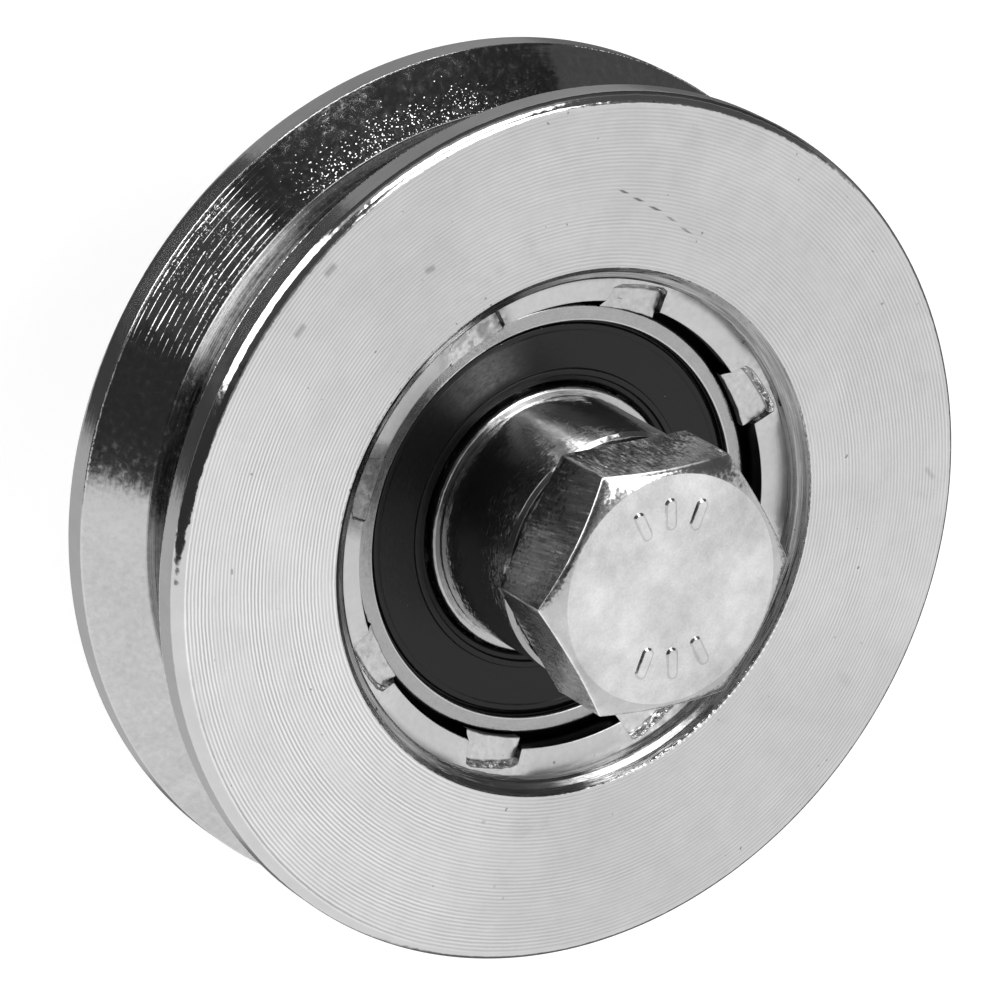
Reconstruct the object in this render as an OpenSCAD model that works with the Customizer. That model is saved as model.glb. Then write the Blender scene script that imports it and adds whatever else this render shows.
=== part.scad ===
// V groove wheel on a sealed ball bearing, bolted between two spacer bushes.
// Frame: the origin is the wheel's centre, on the axle, half way through its width.
// +Z runs along the axle towards the bolt's head, and the part stands on the bolt's threaded end.

/* [Wheel] */
// Outside diameter of the flanges
wheel_d = 80; // [78:0.5:96]
// Width over both faces
wheel_w = 20.8; // [20:0.1:24]
// Radius on the outer corner of each flange
corner_r = 1.2; // [0.4:0.1:1.8]

/* [Rail groove] */
// Width of the groove at the rim
groove_mouth = 14.4; // [12:0.1:15]
// Width of the flat floor of the groove
groove_floor = 7.2; // [4:0.1:9]
// Depth of the groove below the rim
groove_depth = 4.8; // [3:0.1:7]

/* [Bearing seat] */
// Diameter of the recess in each face
recess_d = 48.8; // [47:0.1:52]
// Depth of the recess at its outer edge
recess_depth = 1.9; // [1.5:0.1:2.2]
// Diameter at which the staking lip ends, around the bearing
lip_d = 41.3; // [41:0.1:42]
// How far the lip's face falls towards the bearing
lip_fall = 0.5; // [0:0.1:0.6]
// Diameter of the opening in the rear shoulder
shoulder_d = 36; // [35:0.1:37]
// Number of staked tabs that hold the bearing
stake_count = 8; // [4:1:10]
// Width of one stake mark at the bearing
stake_w = 5.8; // [4:0.1:7]
// Angle of the first stake mark from the X axis
stake_start = 16; // [0:1:45]

/* [Bearing] */
// Outside diameter of the bearing
bearing_od = 40; // [39.8:0.05:40.2]
// Bore of the bearing
bearing_bore = 17; // [16:0.5:17.5]
// Width of the bearing
bearing_w = 12; // [12:0.1:12.2]
// Diameter of one ball
ball_d = 6.74; // [6.5:0.02:6.8]
// Diameter of the circle of ball centres
pitch_d = 28.5; // [28.3:0.1:28.6]
// Depth of the bearing's face below the wheel's front face
bearing_sunk = 4.2; // [4:0.1:4.4]

/* [Bushes] */
// Diameter of the two spacer bushes
bush_d = 23; // [20:0.1:23.4]
// How far each bush stands proud of the wheel's face
bush_proud = 6.9; // [3:0.1:11]

/* [Bolt] */
// Thread diameter of the bolt
bolt_d = 14; // [12:0.5:14]
// Length of the bolt under its head
bolt_len = 60; // [58:1:80]
// Width across flats of the head and the nut
hex_af = 22; // [21:0.5:24]
// Height of the head
head_h = 8.8; // [7:0.1:10]
// Turn of the head's corners from the X axis
head_turn = 5.5; // [0:0.5:30]
// Height of the nut
nut_h = 11; // [9:0.5:12]
// Outside diameter of the washer
washer_d = 28; // [26:0.5:32]
// Thickness of the washer
washer_t = 2.5; // [2:0.1:3]

/* [Hidden] */
$fn = 96;
ball_count = 8;
ball_names = [for (i = [1:ball_count]) str("ball_", i)];

eps = 0.01;
wheel_r = wheel_d / 2;
face_z = wheel_w / 2;

// Heights along the axle
bearing_front_z = face_z - bearing_sunk;
bearing_rear_z = bearing_front_z - bearing_w;
bearing_mid_z = bearing_front_z - bearing_w / 2;
front_seat_z = face_z + bush_proud;
rear_seat_z = -front_seat_z;
washer_rear_z = rear_seat_z - washer_t;
nut_rear_z = washer_rear_z - nut_h;

// Turned steps of a recess wall, as [how far inside the mouth, depth below the face]
recess_steps = [[1.3, recess_depth], [1.05, 0.8], [0.55, 0.55], [0, 0]];
lip_outer_r = recess_d / 2 - recess_steps[0][0];
lip_r = lip_d / 2;
lip_z = face_z - recess_depth - lip_fall;

// Bearing sections
bearing_r = bearing_od / 2;
pitch_r = pitch_d / 2;
ball_r = ball_d / 2;
race_gap = 0.1;
race_r = ball_r + race_gap;
outer_land_r = bearing_r - 1.6;
outer_shoulder_r = bearing_r - 2.7;
inner_shoulder_r = bearing_bore / 2 + 3.8;
ring_chamfer = 0.4;
shoulder_chamfer = 0.3;
seal_sunk = 0.6;
seal_t = 0.9;
seal_groove_r = outer_land_r + 0.35;
seal_lip_r = inner_shoulder_r + 0.3;

// Cage sections
cage_t = 0.6;
pocket_r = ball_r + 0.12;
cage_in_r = pitch_r - 1.35;
cage_out_r = pitch_r + 1.35;
rivet_r = 0.55;
rivet_head_r = 0.95;
rivet_head_h = 0.35;

// Bush and bolt details
bush_bore_r = bolt_d / 2 + 0.1;
bush_chamfer = 0.35;
spigot_r = bearing_bore / 2 - 0.03;
spigot_len = bearing_w / 2 - 0.5;
hex_corner_r = hex_af / sqrt(3);
washer_face_h = 0.5;
washer_face_inset = 0.7;
washer_clearance = 0.5;
hex_chamfer_angle = 27;
hex_bevel_share = 0.95;
thread_chamfer = 1.2;
thread_gap = 0.02;
// Inside the nut the two threads are drawn plain, at the radius where they meet
thread_meet_depth = 0.65;
thread_meet_r = bolt_d / 2 - thread_meet_depth;

// Points along an arc, for the outline of a turned piece
function arc(centre, r, from, to, steps = 6) =
    [for (i = [0:steps])
        let (a = from + (to - from) * i / steps)
        centre + r * [cos(a), sin(a)]];

// A recess wall from the lip up to the wheel's face, for the face at height z
function recess_wall(z) =
    [for (s = recess_steps) [recess_d / 2 - s[0], z - s[1]]];

function reversed(points) = [for (i = [len(points) - 1:-1:0]) points[i]];
function flipped(points) = [for (p = points) [p[0], -p[1]]];

// Half section of the turned wheel, without its stake marks
function rim_outline() =
    let (front_wall = recess_wall(face_z))
    let (corner_centre = [wheel_r - corner_r, face_z - corner_r])
    concat(
        [[bearing_r, bearing_rear_z], [bearing_r, bearing_front_z - 1.6]],
        [[lip_r, bearing_front_z - 0.9], [lip_r, lip_z]],
        front_wall,
        arc(corner_centre, corner_r, 90, 0),
        [[wheel_r, groove_mouth / 2], [wheel_r - groove_depth, groove_floor / 2]],
        [[wheel_r - groove_depth, -groove_floor / 2], [wheel_r, -groove_mouth / 2]],
        flipped(reversed(arc(corner_centre, corner_r, 90, 0))),
        flipped(reversed(front_wall)),
        [[shoulder_d / 2 + 0.4, -lip_z], [shoulder_d / 2, -lip_z + 0.4]],
        [[shoulder_d / 2, bearing_rear_z]]
    );

// Metal pushed inwards over the bearing's outer edge, before the punch has flattened it
module tab_ring() {
    rotate_extrude()
        polygon([
            [bearing_r - 0.12, bearing_front_z + 0.02],
            [bearing_r, bearing_front_z - 0.1],
            [bearing_r, bearing_front_z - 1.6],
            [lip_r + eps, bearing_front_z - 1.6],
            [lip_r + eps, lip_z],
            [bearing_r - 0.12, lip_z]
        ]);
}

// Outline of the punch seen along the axle, with its long side towards -Y
module punch_plan() {
    polygon([
        [bearing_r - 1.2, -stake_w / 2],
        [bearing_r - 1.2, stake_w / 2],
        [lip_outer_r - 0.9, stake_w / 2 - 0.3],
        [lip_outer_r - 0.05, -stake_w / 2 + 0.3]
    ]);
}

// Space that the punch leaves: it is deepest over the bearing
module punch_mark() {
    floor_angle = 13;
    intersection() {
        translate([0, 0, bearing_front_z])
            linear_extrude(bearing_sunk + 1)
                punch_plan();
        translate([bearing_r, -stake_w, bearing_front_z + 1])
            rotate([0, -floor_angle, 0])
                translate([-4, 0, 0])
                    cube([10, 2 * stake_w, 8]);
    }
}

module tab_block() {
    translate([bearing_r - 1, -stake_w / 2, bearing_rear_z])
        cube([lip_r - bearing_r + 1.5, stake_w, bearing_w + bearing_sunk]);
}

module each_stake() {
    for (i = [0:stake_count - 1])
        rotate(stake_start + i * 360 / stake_count)
            children();
}

module wheel_rim() {
    color("silver")
        difference() {
            union() {
                rotate_extrude($fn = 180)
                    polygon(rim_outline());
                intersection() {
                    tab_ring();
                    each_stake()
                        tab_block();
                }
            }
            each_stake()
                punch_mark();
        }
}

// The torus that the balls run in
module race_groove() {
    translate([0, 0, bearing_mid_z])
        rotate_extrude()
            translate([pitch_r, 0])
                circle(race_r, $fn = 48);
}

// Front half of the outer ring's section, from its middle over the face to the raceway shoulder
function outer_ring_half() =
    let (z = bearing_front_z)
    [
        [bearing_r, z - ring_chamfer],
        [bearing_r - ring_chamfer, z],
        [outer_land_r, z],
        [outer_land_r - 0.1, z - seal_sunk - 0.1],
        [seal_groove_r, z - seal_sunk - 0.35],
        [seal_groove_r, z - seal_sunk - seal_t],
        [outer_shoulder_r, z - seal_sunk - seal_t]
    ];

// A half section joined to its mirror image about the middle of the bearing
function both_halves(half) =
    concat(half, reversed([for (p = half) [p[0], 2 * bearing_mid_z - p[1]]]));

module bearing_outer_ring() {
    color("lightsteelblue")
        difference() {
            rotate_extrude()
                polygon(both_halves(outer_ring_half()));
            race_groove();
        }
}

// Front half of the inner ring's section, from its shoulder over the face to the bore
function inner_ring_half() =
    let (z = bearing_front_z)
    let (bore_r = bearing_bore / 2)
    [
        [inner_shoulder_r, z - shoulder_chamfer],
        [inner_shoulder_r - shoulder_chamfer, z],
        [bore_r + ring_chamfer, z],
        [bore_r, z - ring_chamfer]
    ];

module bearing_inner_ring() {
    color("lightsteelblue")
        difference() {
            rotate_extrude()
                polygon(both_halves(inner_ring_half()));
            race_groove();
        }
}

// Carries its children to the place of one ball
module at_ball(i) {
    rotate(i * 360 / ball_count)
        translate([pitch_r, 0, bearing_mid_z])
            children();
}

module ball(i) {
    color("gainsboro")
        at_ball(i)
            sphere(ball_r, $fn = 48);
}

module rivet_places() {
    for (i = [0:ball_count - 1])
        rotate((i + 0.5) * 360 / ball_count)
            translate([pitch_r, 0, bearing_mid_z])
                children();
}

// One pressed half of the cage, on the +Z side of the balls' centres
module cage_half() {
    cup_r = pocket_r + cage_t;
    difference() {
        intersection() {
            union() {
                translate([0, 0, bearing_mid_z])
                    cylinder(r = cage_out_r, h = cage_t);
                for (i = [0:ball_count - 1])
                    at_ball(i)
                        sphere(cup_r, $fn = 48);
            }
            translate([0, 0, bearing_mid_z])
                difference() {
                    cylinder(r = cage_out_r, h = cup_r + 1);
                    translate([0, 0, -1])
                        cylinder(r = cage_in_r, h = cup_r + 3);
                }
        }
        for (i = [0:ball_count - 1])
            at_ball(i)
                sphere(pocket_r, $fn = 48);
        rivet_places()
            translate([0, 0, -1])
                cylinder(r = rivet_r, h = cage_t + 2, $fn = 24);
    }
}

module cage_front_half() {
    color("tan")
        cage_half();
}

module cage_rear_half() {
    color("tan")
        translate([0, 0, 2 * bearing_mid_z])
            mirror([0, 0, 1])
                cage_half();
}

module cage_rivets() {
    color("dimgray")
        rivet_places()
            for (side = [0, 1])
                mirror([0, 0, side]) {
                    cylinder(r = rivet_r, h = cage_t, $fn = 24);
                    translate([0, 0, cage_t])
                        cylinder(r1 = rivet_head_r, r2 = rivet_r, h = rivet_head_h, $fn = 24);
                }
}

// A moulded rubber seal: bead in the outer ring, flat face, raised ring and inner lip
module seal() {
    top = bearing_front_z - seal_sunk;
    color([0.1, 0.1, 0.1])
        rotate_extrude()
            polygon([
                [seal_groove_r, top - 0.4],
                [outer_land_r - 0.5, top - 0.05],
                [outer_land_r - 0.6, top],
                [pitch_r - 0.4, top],
                [pitch_r - 0.5, top + 0.2],
                [pitch_r - 1.0, top + 0.2],
                [pitch_r - 1.1, top - 0.05],
                [seal_lip_r + 0.15, top - 0.15],
                [seal_lip_r, top - 0.3],
                [seal_lip_r, top - seal_t],
                [seal_groove_r, top - seal_t]
            ]);
}

module seal_front() {
    seal();
}

module seal_rear() {
    translate([0, 0, 2 * bearing_mid_z])
        mirror([0, 0, 1])
            seal();
}

// A flanged spacer bush, for a bearing whose face is at the height given: its collar
// stands on the inner ring and its spigot fills the bearing's bore
module spacer_bush(ring_face_z) {
    collar_r = bush_d / 2;
    spigot_end = ring_face_z - spigot_len;
    color([0.35, 0.36, 0.38])
        rotate_extrude()
            polygon([
                [bush_bore_r, spigot_end],
                [spigot_r - bush_chamfer, spigot_end],
                [spigot_r, spigot_end + bush_chamfer],
                [spigot_r, ring_face_z],
                [collar_r - bush_chamfer / 2, ring_face_z],
                [collar_r, ring_face_z + bush_chamfer / 2],
                [collar_r, front_seat_z - bush_chamfer],
                [collar_r - bush_chamfer, front_seat_z],
                [bush_bore_r, front_seat_z]
            ]);
}

module front_bush() {
    spacer_bush(bearing_front_z);
}

module rear_bush() {
    mirror([0, 0, 1])
        spacer_bush(-bearing_rear_z);
}

// A hexagon of height h, with the corners of its upper end bevelled, or of both ends
module bevelled_hexagon(h, both_ends = false) {
    bevel_r = hex_af / 2 * hex_bevel_share;
    outer_r = hex_corner_r + 1;
    rise = (outer_r - bevel_r) * tan(hex_chamfer_angle);
    lower_r = both_ends ? bevel_r : outer_r - eps;
    intersection() {
        rotate(head_turn)
            cylinder(r = hex_corner_r, h = h, $fn = 6);
        rotate_extrude()
            polygon([[0, 0], [lower_r, 0], [outer_r, rise], [outer_r, h - rise], [bevel_r, h], [0, h]]);
    }
}

module hex_bolt() {
    shank_r = bolt_d / 2;
    end_z = front_seat_z - bolt_len;
    color([0.75, 0.76, 0.78]) {
        translate([0, 0, front_seat_z]) {
            cylinder(r = hex_af / 2 - washer_face_inset, h = washer_face_h);
            translate([0, 0, washer_face_h])
                bevelled_hexagon(head_h - washer_face_h);
        }
        rotate_extrude()
            polygon([
                [0, front_seat_z + washer_face_h / 2],
                [shank_r, front_seat_z + washer_face_h / 2],
                [shank_r, washer_rear_z],
                [thread_meet_r, washer_rear_z - thread_meet_depth],
                [thread_meet_r, nut_rear_z + thread_meet_depth],
                [shank_r, nut_rear_z],
                [shank_r, end_z + thread_chamfer],
                [shank_r - thread_chamfer, end_z],
                [0, end_z]
            ]);
    }
}

module washer() {
    color([0.7, 0.71, 0.73])
        translate([0, 0, washer_rear_z])
            difference() {
                cylinder(d = washer_d, h = washer_t);
                translate([0, 0, -1])
                    cylinder(r = bolt_d / 2 + washer_clearance, h = washer_t + 2);
            }
}

// The nut's thread has a countersink at each end that opens as wide as the bolt
module hex_nut() {
    bore_r = thread_meet_r + thread_gap;
    mouth_r = bore_r + thread_meet_depth + 1;
    color([0.75, 0.76, 0.78])
        difference() {
            translate([0, 0, nut_rear_z])
                bevelled_hexagon(nut_h, both_ends = true);
            rotate_extrude()
                polygon([
                    [0, nut_rear_z - 1],
                    [mouth_r, nut_rear_z - 1],
                    [bore_r, nut_rear_z + thread_meet_depth],
                    [bore_r, washer_rear_z - thread_meet_depth],
                    [mouth_r, washer_rear_z + 1],
                    [0, washer_rear_z + 1]
                ]);
        }
}

wheel_rim();
bearing_outer_ring();
bearing_inner_ring();
for (i = [0:ball_count - 1])
    ball(i);
cage_front_half();
cage_rear_half();
cage_rivets();
seal_front();
seal_rear();
front_bush();
rear_bush();
hex_bolt();
washer();
hex_nut();
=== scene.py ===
"""Dresses a V groove wheel: turned steel on a sealed ball bearing, with bushes, bolt, washer and nut."""

import math

import bmesh
import bpy
import numpy as np
from bpy.props import FloatProperty, FloatVectorProperty, IntProperty, PointerProperty
from mathutils import Matrix, Vector


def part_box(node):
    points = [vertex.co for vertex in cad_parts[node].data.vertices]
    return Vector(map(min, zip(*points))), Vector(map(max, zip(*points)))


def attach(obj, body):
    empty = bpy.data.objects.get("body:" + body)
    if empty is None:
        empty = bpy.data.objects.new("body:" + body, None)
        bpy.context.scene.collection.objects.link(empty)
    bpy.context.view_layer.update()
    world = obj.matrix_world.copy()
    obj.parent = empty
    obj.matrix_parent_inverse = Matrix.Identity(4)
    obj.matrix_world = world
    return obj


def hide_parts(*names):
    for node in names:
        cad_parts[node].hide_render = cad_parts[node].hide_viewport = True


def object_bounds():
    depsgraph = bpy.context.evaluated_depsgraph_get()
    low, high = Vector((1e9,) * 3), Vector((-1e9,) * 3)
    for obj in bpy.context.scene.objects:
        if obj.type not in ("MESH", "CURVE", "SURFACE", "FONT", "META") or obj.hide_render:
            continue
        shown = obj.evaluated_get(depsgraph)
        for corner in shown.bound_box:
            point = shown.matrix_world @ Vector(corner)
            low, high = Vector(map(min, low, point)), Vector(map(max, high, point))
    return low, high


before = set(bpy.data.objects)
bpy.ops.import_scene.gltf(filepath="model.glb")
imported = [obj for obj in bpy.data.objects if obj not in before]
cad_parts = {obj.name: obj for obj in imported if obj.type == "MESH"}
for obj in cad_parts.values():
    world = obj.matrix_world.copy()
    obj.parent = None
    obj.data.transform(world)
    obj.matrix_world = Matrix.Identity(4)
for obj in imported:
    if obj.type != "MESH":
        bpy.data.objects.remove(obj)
CAD_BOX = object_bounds()

bl_info = {
    "name": "V groove wheel",
    "version": (1, 0, 0),
    "blender": (4, 5, 0),
    "location": "3D View > Sidebar > Wheel",
    "description": "Builds a turned V groove wheel on its staked bearing, bushes and bolt",
    "category": "Object",
}

MM = 0.001
# Pitches of the turned rings and of the lines that chips left, in millimetres
RING_PITCH = 0.345
CHIP_PITCH = 0.72
# Depth of the lip's hidden bed below the wheel's face, in millimetres
LIP_BED = 5.1
# Size of the small roundings on the bolt's head and the nut
SOFT_EDGE = 0.1 * MM
# Points closer than this are merged
MERGE = 0.001 * MM
# Where the thread runs out into the shank, and the chamfer on the bolt's end
THREAD_TOP = -14 * MM
END_CHAMFER = 1.3 * MM
# A noise node gives 0 to 1, mostly near the middle, and this spreads it to about -1 to 1
NOISE_GAIN = 3.2
# Gap between the floor and the lowest face, so that the two don't lie in one plane
FLOOR_GAP = 0.05 * MM
# Light that the floor gives to the camera besides what falls on it
FLOOR_GLOW = 0.72
# The black card beside the groove: its angles about the axle, in degrees, and its radii, in
# millimetres. It is narrower from one angle on.
FLAG_ANGLES = range(190, 254, 2)
FLAG_INSIDE = 42
FLAG_OUTSIDE = 66
FLAG_NARROW = 56
FLAG_NARROW_FROM = 223


def length(label, description, default):
    """A length that the sidebar shows."""
    return FloatProperty(name=label, description=description, default=default, unit="LENGTH", precision=5)


def share(label, description, default):
    """A number without a unit."""
    return FloatProperty(name=label, description=description, default=default, precision=3)


def turn(label, description, degrees):
    """An angle, given in degrees."""
    return FloatProperty(
        name=label, description=description, default=math.radians(degrees), subtype="ANGLE"
    )


def grey(label, description, level):
    """A neutral colour."""
    return FloatVectorProperty(
        name=label, description=description, default=(level, level, level), subtype="COLOR", size=3
    )


def low(node):
    """Height of the lowest point of a CAD node."""
    return round(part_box(node)[0].z, 6)


def high(node):
    """Height of the highest point of a CAD node."""
    return round(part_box(node)[1].z, 6)


def reach(node):
    """Radius of a round CAD node."""
    return round(max(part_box(node)[1].x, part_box(node)[1].y), 5)


# ---------------------------------------------------------------- sizes and finishes


class WheelSizes(bpy.types.PropertyGroup):
    """The turned wheel and the lip that holds its bearing."""

    radius: length("Radius", "Outside radius of the flanges", reach("wheel_rim"))
    half_width: length("Half width", "From the middle to each face", high("wheel_rim"))
    corner: length("Corner", "Radius on the outer corner of each flange", 1.2 * MM)
    groove_mouth: length("Groove mouth", "Width of the rail groove at the rim", 14.4 * MM)
    groove_floor: length("Groove floor", "Width of the flat floor of the groove", 7.2 * MM)
    groove_depth: length("Groove depth", "Depth of the groove below the rim", 4.8 * MM)
    recess: length("Recess radius", "Radius of the recess in each face", 24.4 * MM)
    recess_depth: length("Recess depth", "Depth of the recess at its outer edge", 1.9 * MM)
    lip_outer: length("Lip outside", "Radius at which the lip meets the recess wall", 23.1 * MM)
    lip_inner: length("Lip inside", "Radius at which the lip ends around the bearing", 20.65 * MM)
    lip_fall: length("Lip fall", "How far the lip's face falls towards the bearing", 0.5 * MM)
    shoulder: length("Shoulder", "Radius of the opening in the rear shoulder", 18 * MM)


class StakeSizes(bpy.types.PropertyGroup):
    """The punch marks that fold the lip over the bearing."""

    count: IntProperty(name="Count", description="Number of stakes", default=8)
    start: turn("First angle", "Angle of the first stake from the X axis", 16)
    width: length("Width", "Width of a stake at its tip", 5.9 * MM)
    outer_width: length("Outer width", "Width of a stake at its outer end", 5.3 * MM)
    tip: length("Tip radius", "Radius to which the metal is pushed inwards", 19.9 * MM)
    tip_drop: length("Tip depth", "Depth of the tip below the wheel's face", 3.2 * MM)
    near_reach: length("Near end", "Outer radius of a stake on its leading side", 22.95 * MM)
    far_reach: length("Far end", "Outer radius of a stake on its trailing side", 22.25 * MM)
    wall: length("Wall", "Width of the sheared wall at the outer end", 0.42 * MM)
    slope: share("Slope", "Rise of the punched floor towards its outer end", 0.2)
    roughness: length("Roughness", "Height of the roughness of sheared metal", 0.05 * MM)


class BearingSizes(bpy.types.PropertyGroup):
    """Rings and seals of the ball bearing."""

    radius: length("Outside radius", "Outside radius of the bearing", reach("bearing_outer_ring"))
    front: length("Front face", "Height of the front face", high("bearing_outer_ring"))
    rear: length("Rear face", "Height of the rear face", low("bearing_outer_ring"))
    land: length("Land", "Inner radius of the outer ring's face", 18.4 * MM)
    race_land: length("Race land", "Inner radius of the outer ring beside its raceway", 17.3 * MM)
    inner: length("Inner ring", "Outside radius of the inner ring", reach("bearing_inner_ring"))
    bore: length("Bore", "Radius of the bore", 8.5 * MM)
    pitch: length("Pitch radius", "Radius of the circle of ball centres", 14.25 * MM)
    race: length("Raceway", "Radius of the raceways' section", 3.47 * MM)
    seal_sunk: length("Seal depth", "Depth of the seal below the bearing's face", 0.6 * MM)
    seal_thick: length("Seal thickness", "Thickness of the seal", 0.9 * MM)
    seal_outer: length("Seal rim", "Radius of the seal's visible face", 17.9 * MM)
    seal_lip: length("Seal lip", "Radius of the seal's inner lip", 12.6 * MM)


class AxleSizes(bpy.types.PropertyGroup):
    """Bushes, bolt, washer and nut."""

    bush: length("Bush radius", "Radius of the two bushes", reach("front_bush"))
    bush_front: length("Front seat", "Height of the front bush's face", high("front_bush"))
    spigot_end: length("Spigot end", "Height of the front bush's spigot end", low("front_bush"))
    spigot: length("Spigot", "Radius of the bushes' spigots", 8.47 * MM)
    head_top: length("Head top", "Height of the top of the bolt's head", high("hex_bolt"))
    bolt_end: length("Bolt end", "Height of the bolt's threaded end", low("hex_bolt"))
    shank: length("Shank", "Radius of the bolt's shank", 7 * MM)
    flats: length("Across flats", "Half the width across flats", 11 * MM)
    turned: turn("Head turn", "Angle of a corner from the X axis", 5.5)
    bevel: turn("Bevel", "Angle of the bevel on the corners", 27)
    bevel_share: share("Bevel circle", "Radius of the bevel's circle over half the flats", 0.95)
    washer_face: length("Washer face", "Height of the washer face under the head", 0.5 * MM)
    pitch: length("Pitch", "Pitch of the thread", 2 * MM)
    thread: length("Thread depth", "Depth of the thread", 1.2 * MM)
    mark: length("Marks", "How far the head's dashes stand proud", 0.2 * MM)
    washer: length("Washer radius", "Radius of the washer", reach("washer"))


class Finishes(bpy.types.PropertyGroup):
    """Colours of the metals and the rubber."""

    turned_steel: grey("Turned steel", "The zinc plated wheel", 0.69)
    bearing_steel: grey("Bearing steel", "The bearing's rings", 0.43)
    bush_steel: grey("Bush steel", "The polished bushes", 0.42)
    zinc_steel: grey("Zinc plated steel", "Bolt, washer and nut", 0.82)
    cage_steel: grey("Cage steel", "The pressed cage", 0.6)
    rubber: grey("Seal rubber", "The black seals", 0.005)
    floor: grey("Floor", "The pale floor", 0.5)


class StageSizes(bpy.types.PropertyGroup):
    """Camera and surroundings."""

    elevation: turn("Elevation", "Camera height over the wheel's face", 53.78)
    roll: turn("Roll", "Roll of the camera about its own axis", 120.41)
    distance: length("Distance", "From the camera to the point it looks at", 0.6345)
    aim_x: length("Aim X", "Where the camera looks, on the wheel's face", 0.83 * MM)
    aim_y: length("Aim Y", "Where the camera looks, on the wheel's face", -9.25 * MM)
    lens: share("Lens", "Focal length in millimetres", 262.4)
    floor: length("Floor radius", "Half the width of the floor", 3)
    surroundings: share("Surroundings", "Level of the plain studio walls", 0.88)


GROUPS = {
    "wheel_sizes": WheelSizes,
    "stake_sizes": StakeSizes,
    "bearing_sizes": BearingSizes,
    "axle_sizes": AxleSizes,
    "wheel_finishes": Finishes,
    "wheel_stage": StageSizes,
}

# ---------------------------------------------------------------- node trees


class Value:
    """What a node gives. Arithmetic on it adds the nodes that work it out."""

    def __init__(self, graph, socket):
        self.graph = graph
        self.socket = socket
        self.wide = socket.type in {"VECTOR", "RGBA"}

    def __add__(self, other):
        return self.graph.sum("ADD", self, other)

    def __sub__(self, other):
        return self.graph.sum("SUBTRACT", self, other)

    def __rsub__(self, other):
        return self.graph.sum("SUBTRACT", other, self)

    def __mul__(self, other):
        if self.wide and not getattr(other, "wide", False):
            return self.graph.vector("SCALE", self, Scale=other)
        return self.graph.sum("MULTIPLY", self, other)

    def __truediv__(self, other):
        return self.graph.sum("DIVIDE", self, other)

    def __neg__(self):
        return self * -1

    __radd__ = __add__


class Graph:
    """Adds nodes to one tree and links them."""

    def __init__(self, tree):
        self.tree = tree

    def node(self, kind, settings=None, sockets=None):
        """Adds a node: its settings come first, then its sockets' values or links."""
        node = self.tree.nodes.new(kind)
        for key, value in (settings or {}).items():
            setattr(node, key, value)
        for key, value in (sockets or {}).items():
            if isinstance(value, Value):
                self.tree.links.new(value.socket, node.inputs[key])
            elif value is not None:
                node.inputs[key].default_value = value
        return node

    def value(self, kind, settings=None, sockets=None, output=0):
        return Value(self, self.node(kind, settings, sockets).outputs[output])

    def sum(self, operation, a, b=None, c=None):
        """One step of arithmetic, on numbers or on vectors."""
        if getattr(a, "wide", False) or getattr(b, "wide", False):
            return self.vector(operation, a, b)
        return self.value("ShaderNodeMath", {"operation": operation}, {0: a, 1: b, 2: c})

    def vector(self, operation, a, b=None, **named):
        return self.value("ShaderNodeVectorMath", {"operation": operation}, {0: a, 1: b, **named})

    def mix(self, factor, a, b):
        """From a to b as the factor goes from 0 to 1."""
        return self.value("ShaderNodeMix", {"data_type": "FLOAT"}, {0: factor, 2: a, 3: b})

    def ramp(self, value, start, end, low=0.0, high=1.0):
        """A smooth step from low to high as the value goes from start to end."""
        return self.value(
            "ShaderNodeMapRange",
            {"interpolation_type": "SMOOTHSTEP"},
            {0: value, 1: start, 2: end, 3: low, 4: high},
        )

    def within(self, value, edge, soft):
        """1 where the value is below the edge, 0 where it is above."""
        return self.ramp(value, edge - soft, edge + soft, 1.0, 0.0)

    def clamp(self, value, low, high):
        return self.sum("MINIMUM", self.sum("MAXIMUM", value, low), high)

    def join(self, x, y, z):
        return self.value("ShaderNodeCombineXYZ", None, {0: x, 1: y, 2: z})

    def split(self, vector):
        node = self.node("ShaderNodeSeparateXYZ", None, {0: vector})
        return [Value(self, socket) for socket in node.outputs]

    def noise(self, place, scale, detail=2.0, roughness=0.5):
        """Smooth noise about 0, most of it between -1 and 1."""
        sockets = {"Vector": place, "Scale": scale, "Detail": detail, "Roughness": roughness}
        return self.value("ShaderNodeTexNoise", None, sockets) * NOISE_GAIN - NOISE_GAIN / 2

    def noise_vector(self, place, scale, detail=2.0):
        """Three noises at once, each about 0."""
        made = self.node("ShaderNodeTexNoise", None, {"Vector": place, "Scale": scale, "Detail": detail})
        colour = Value(self, made.outputs["Color"])
        return self.vector("SUBTRACT", colour, (0.5, 0.5, 0.5)) * NOISE_GAIN


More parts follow.
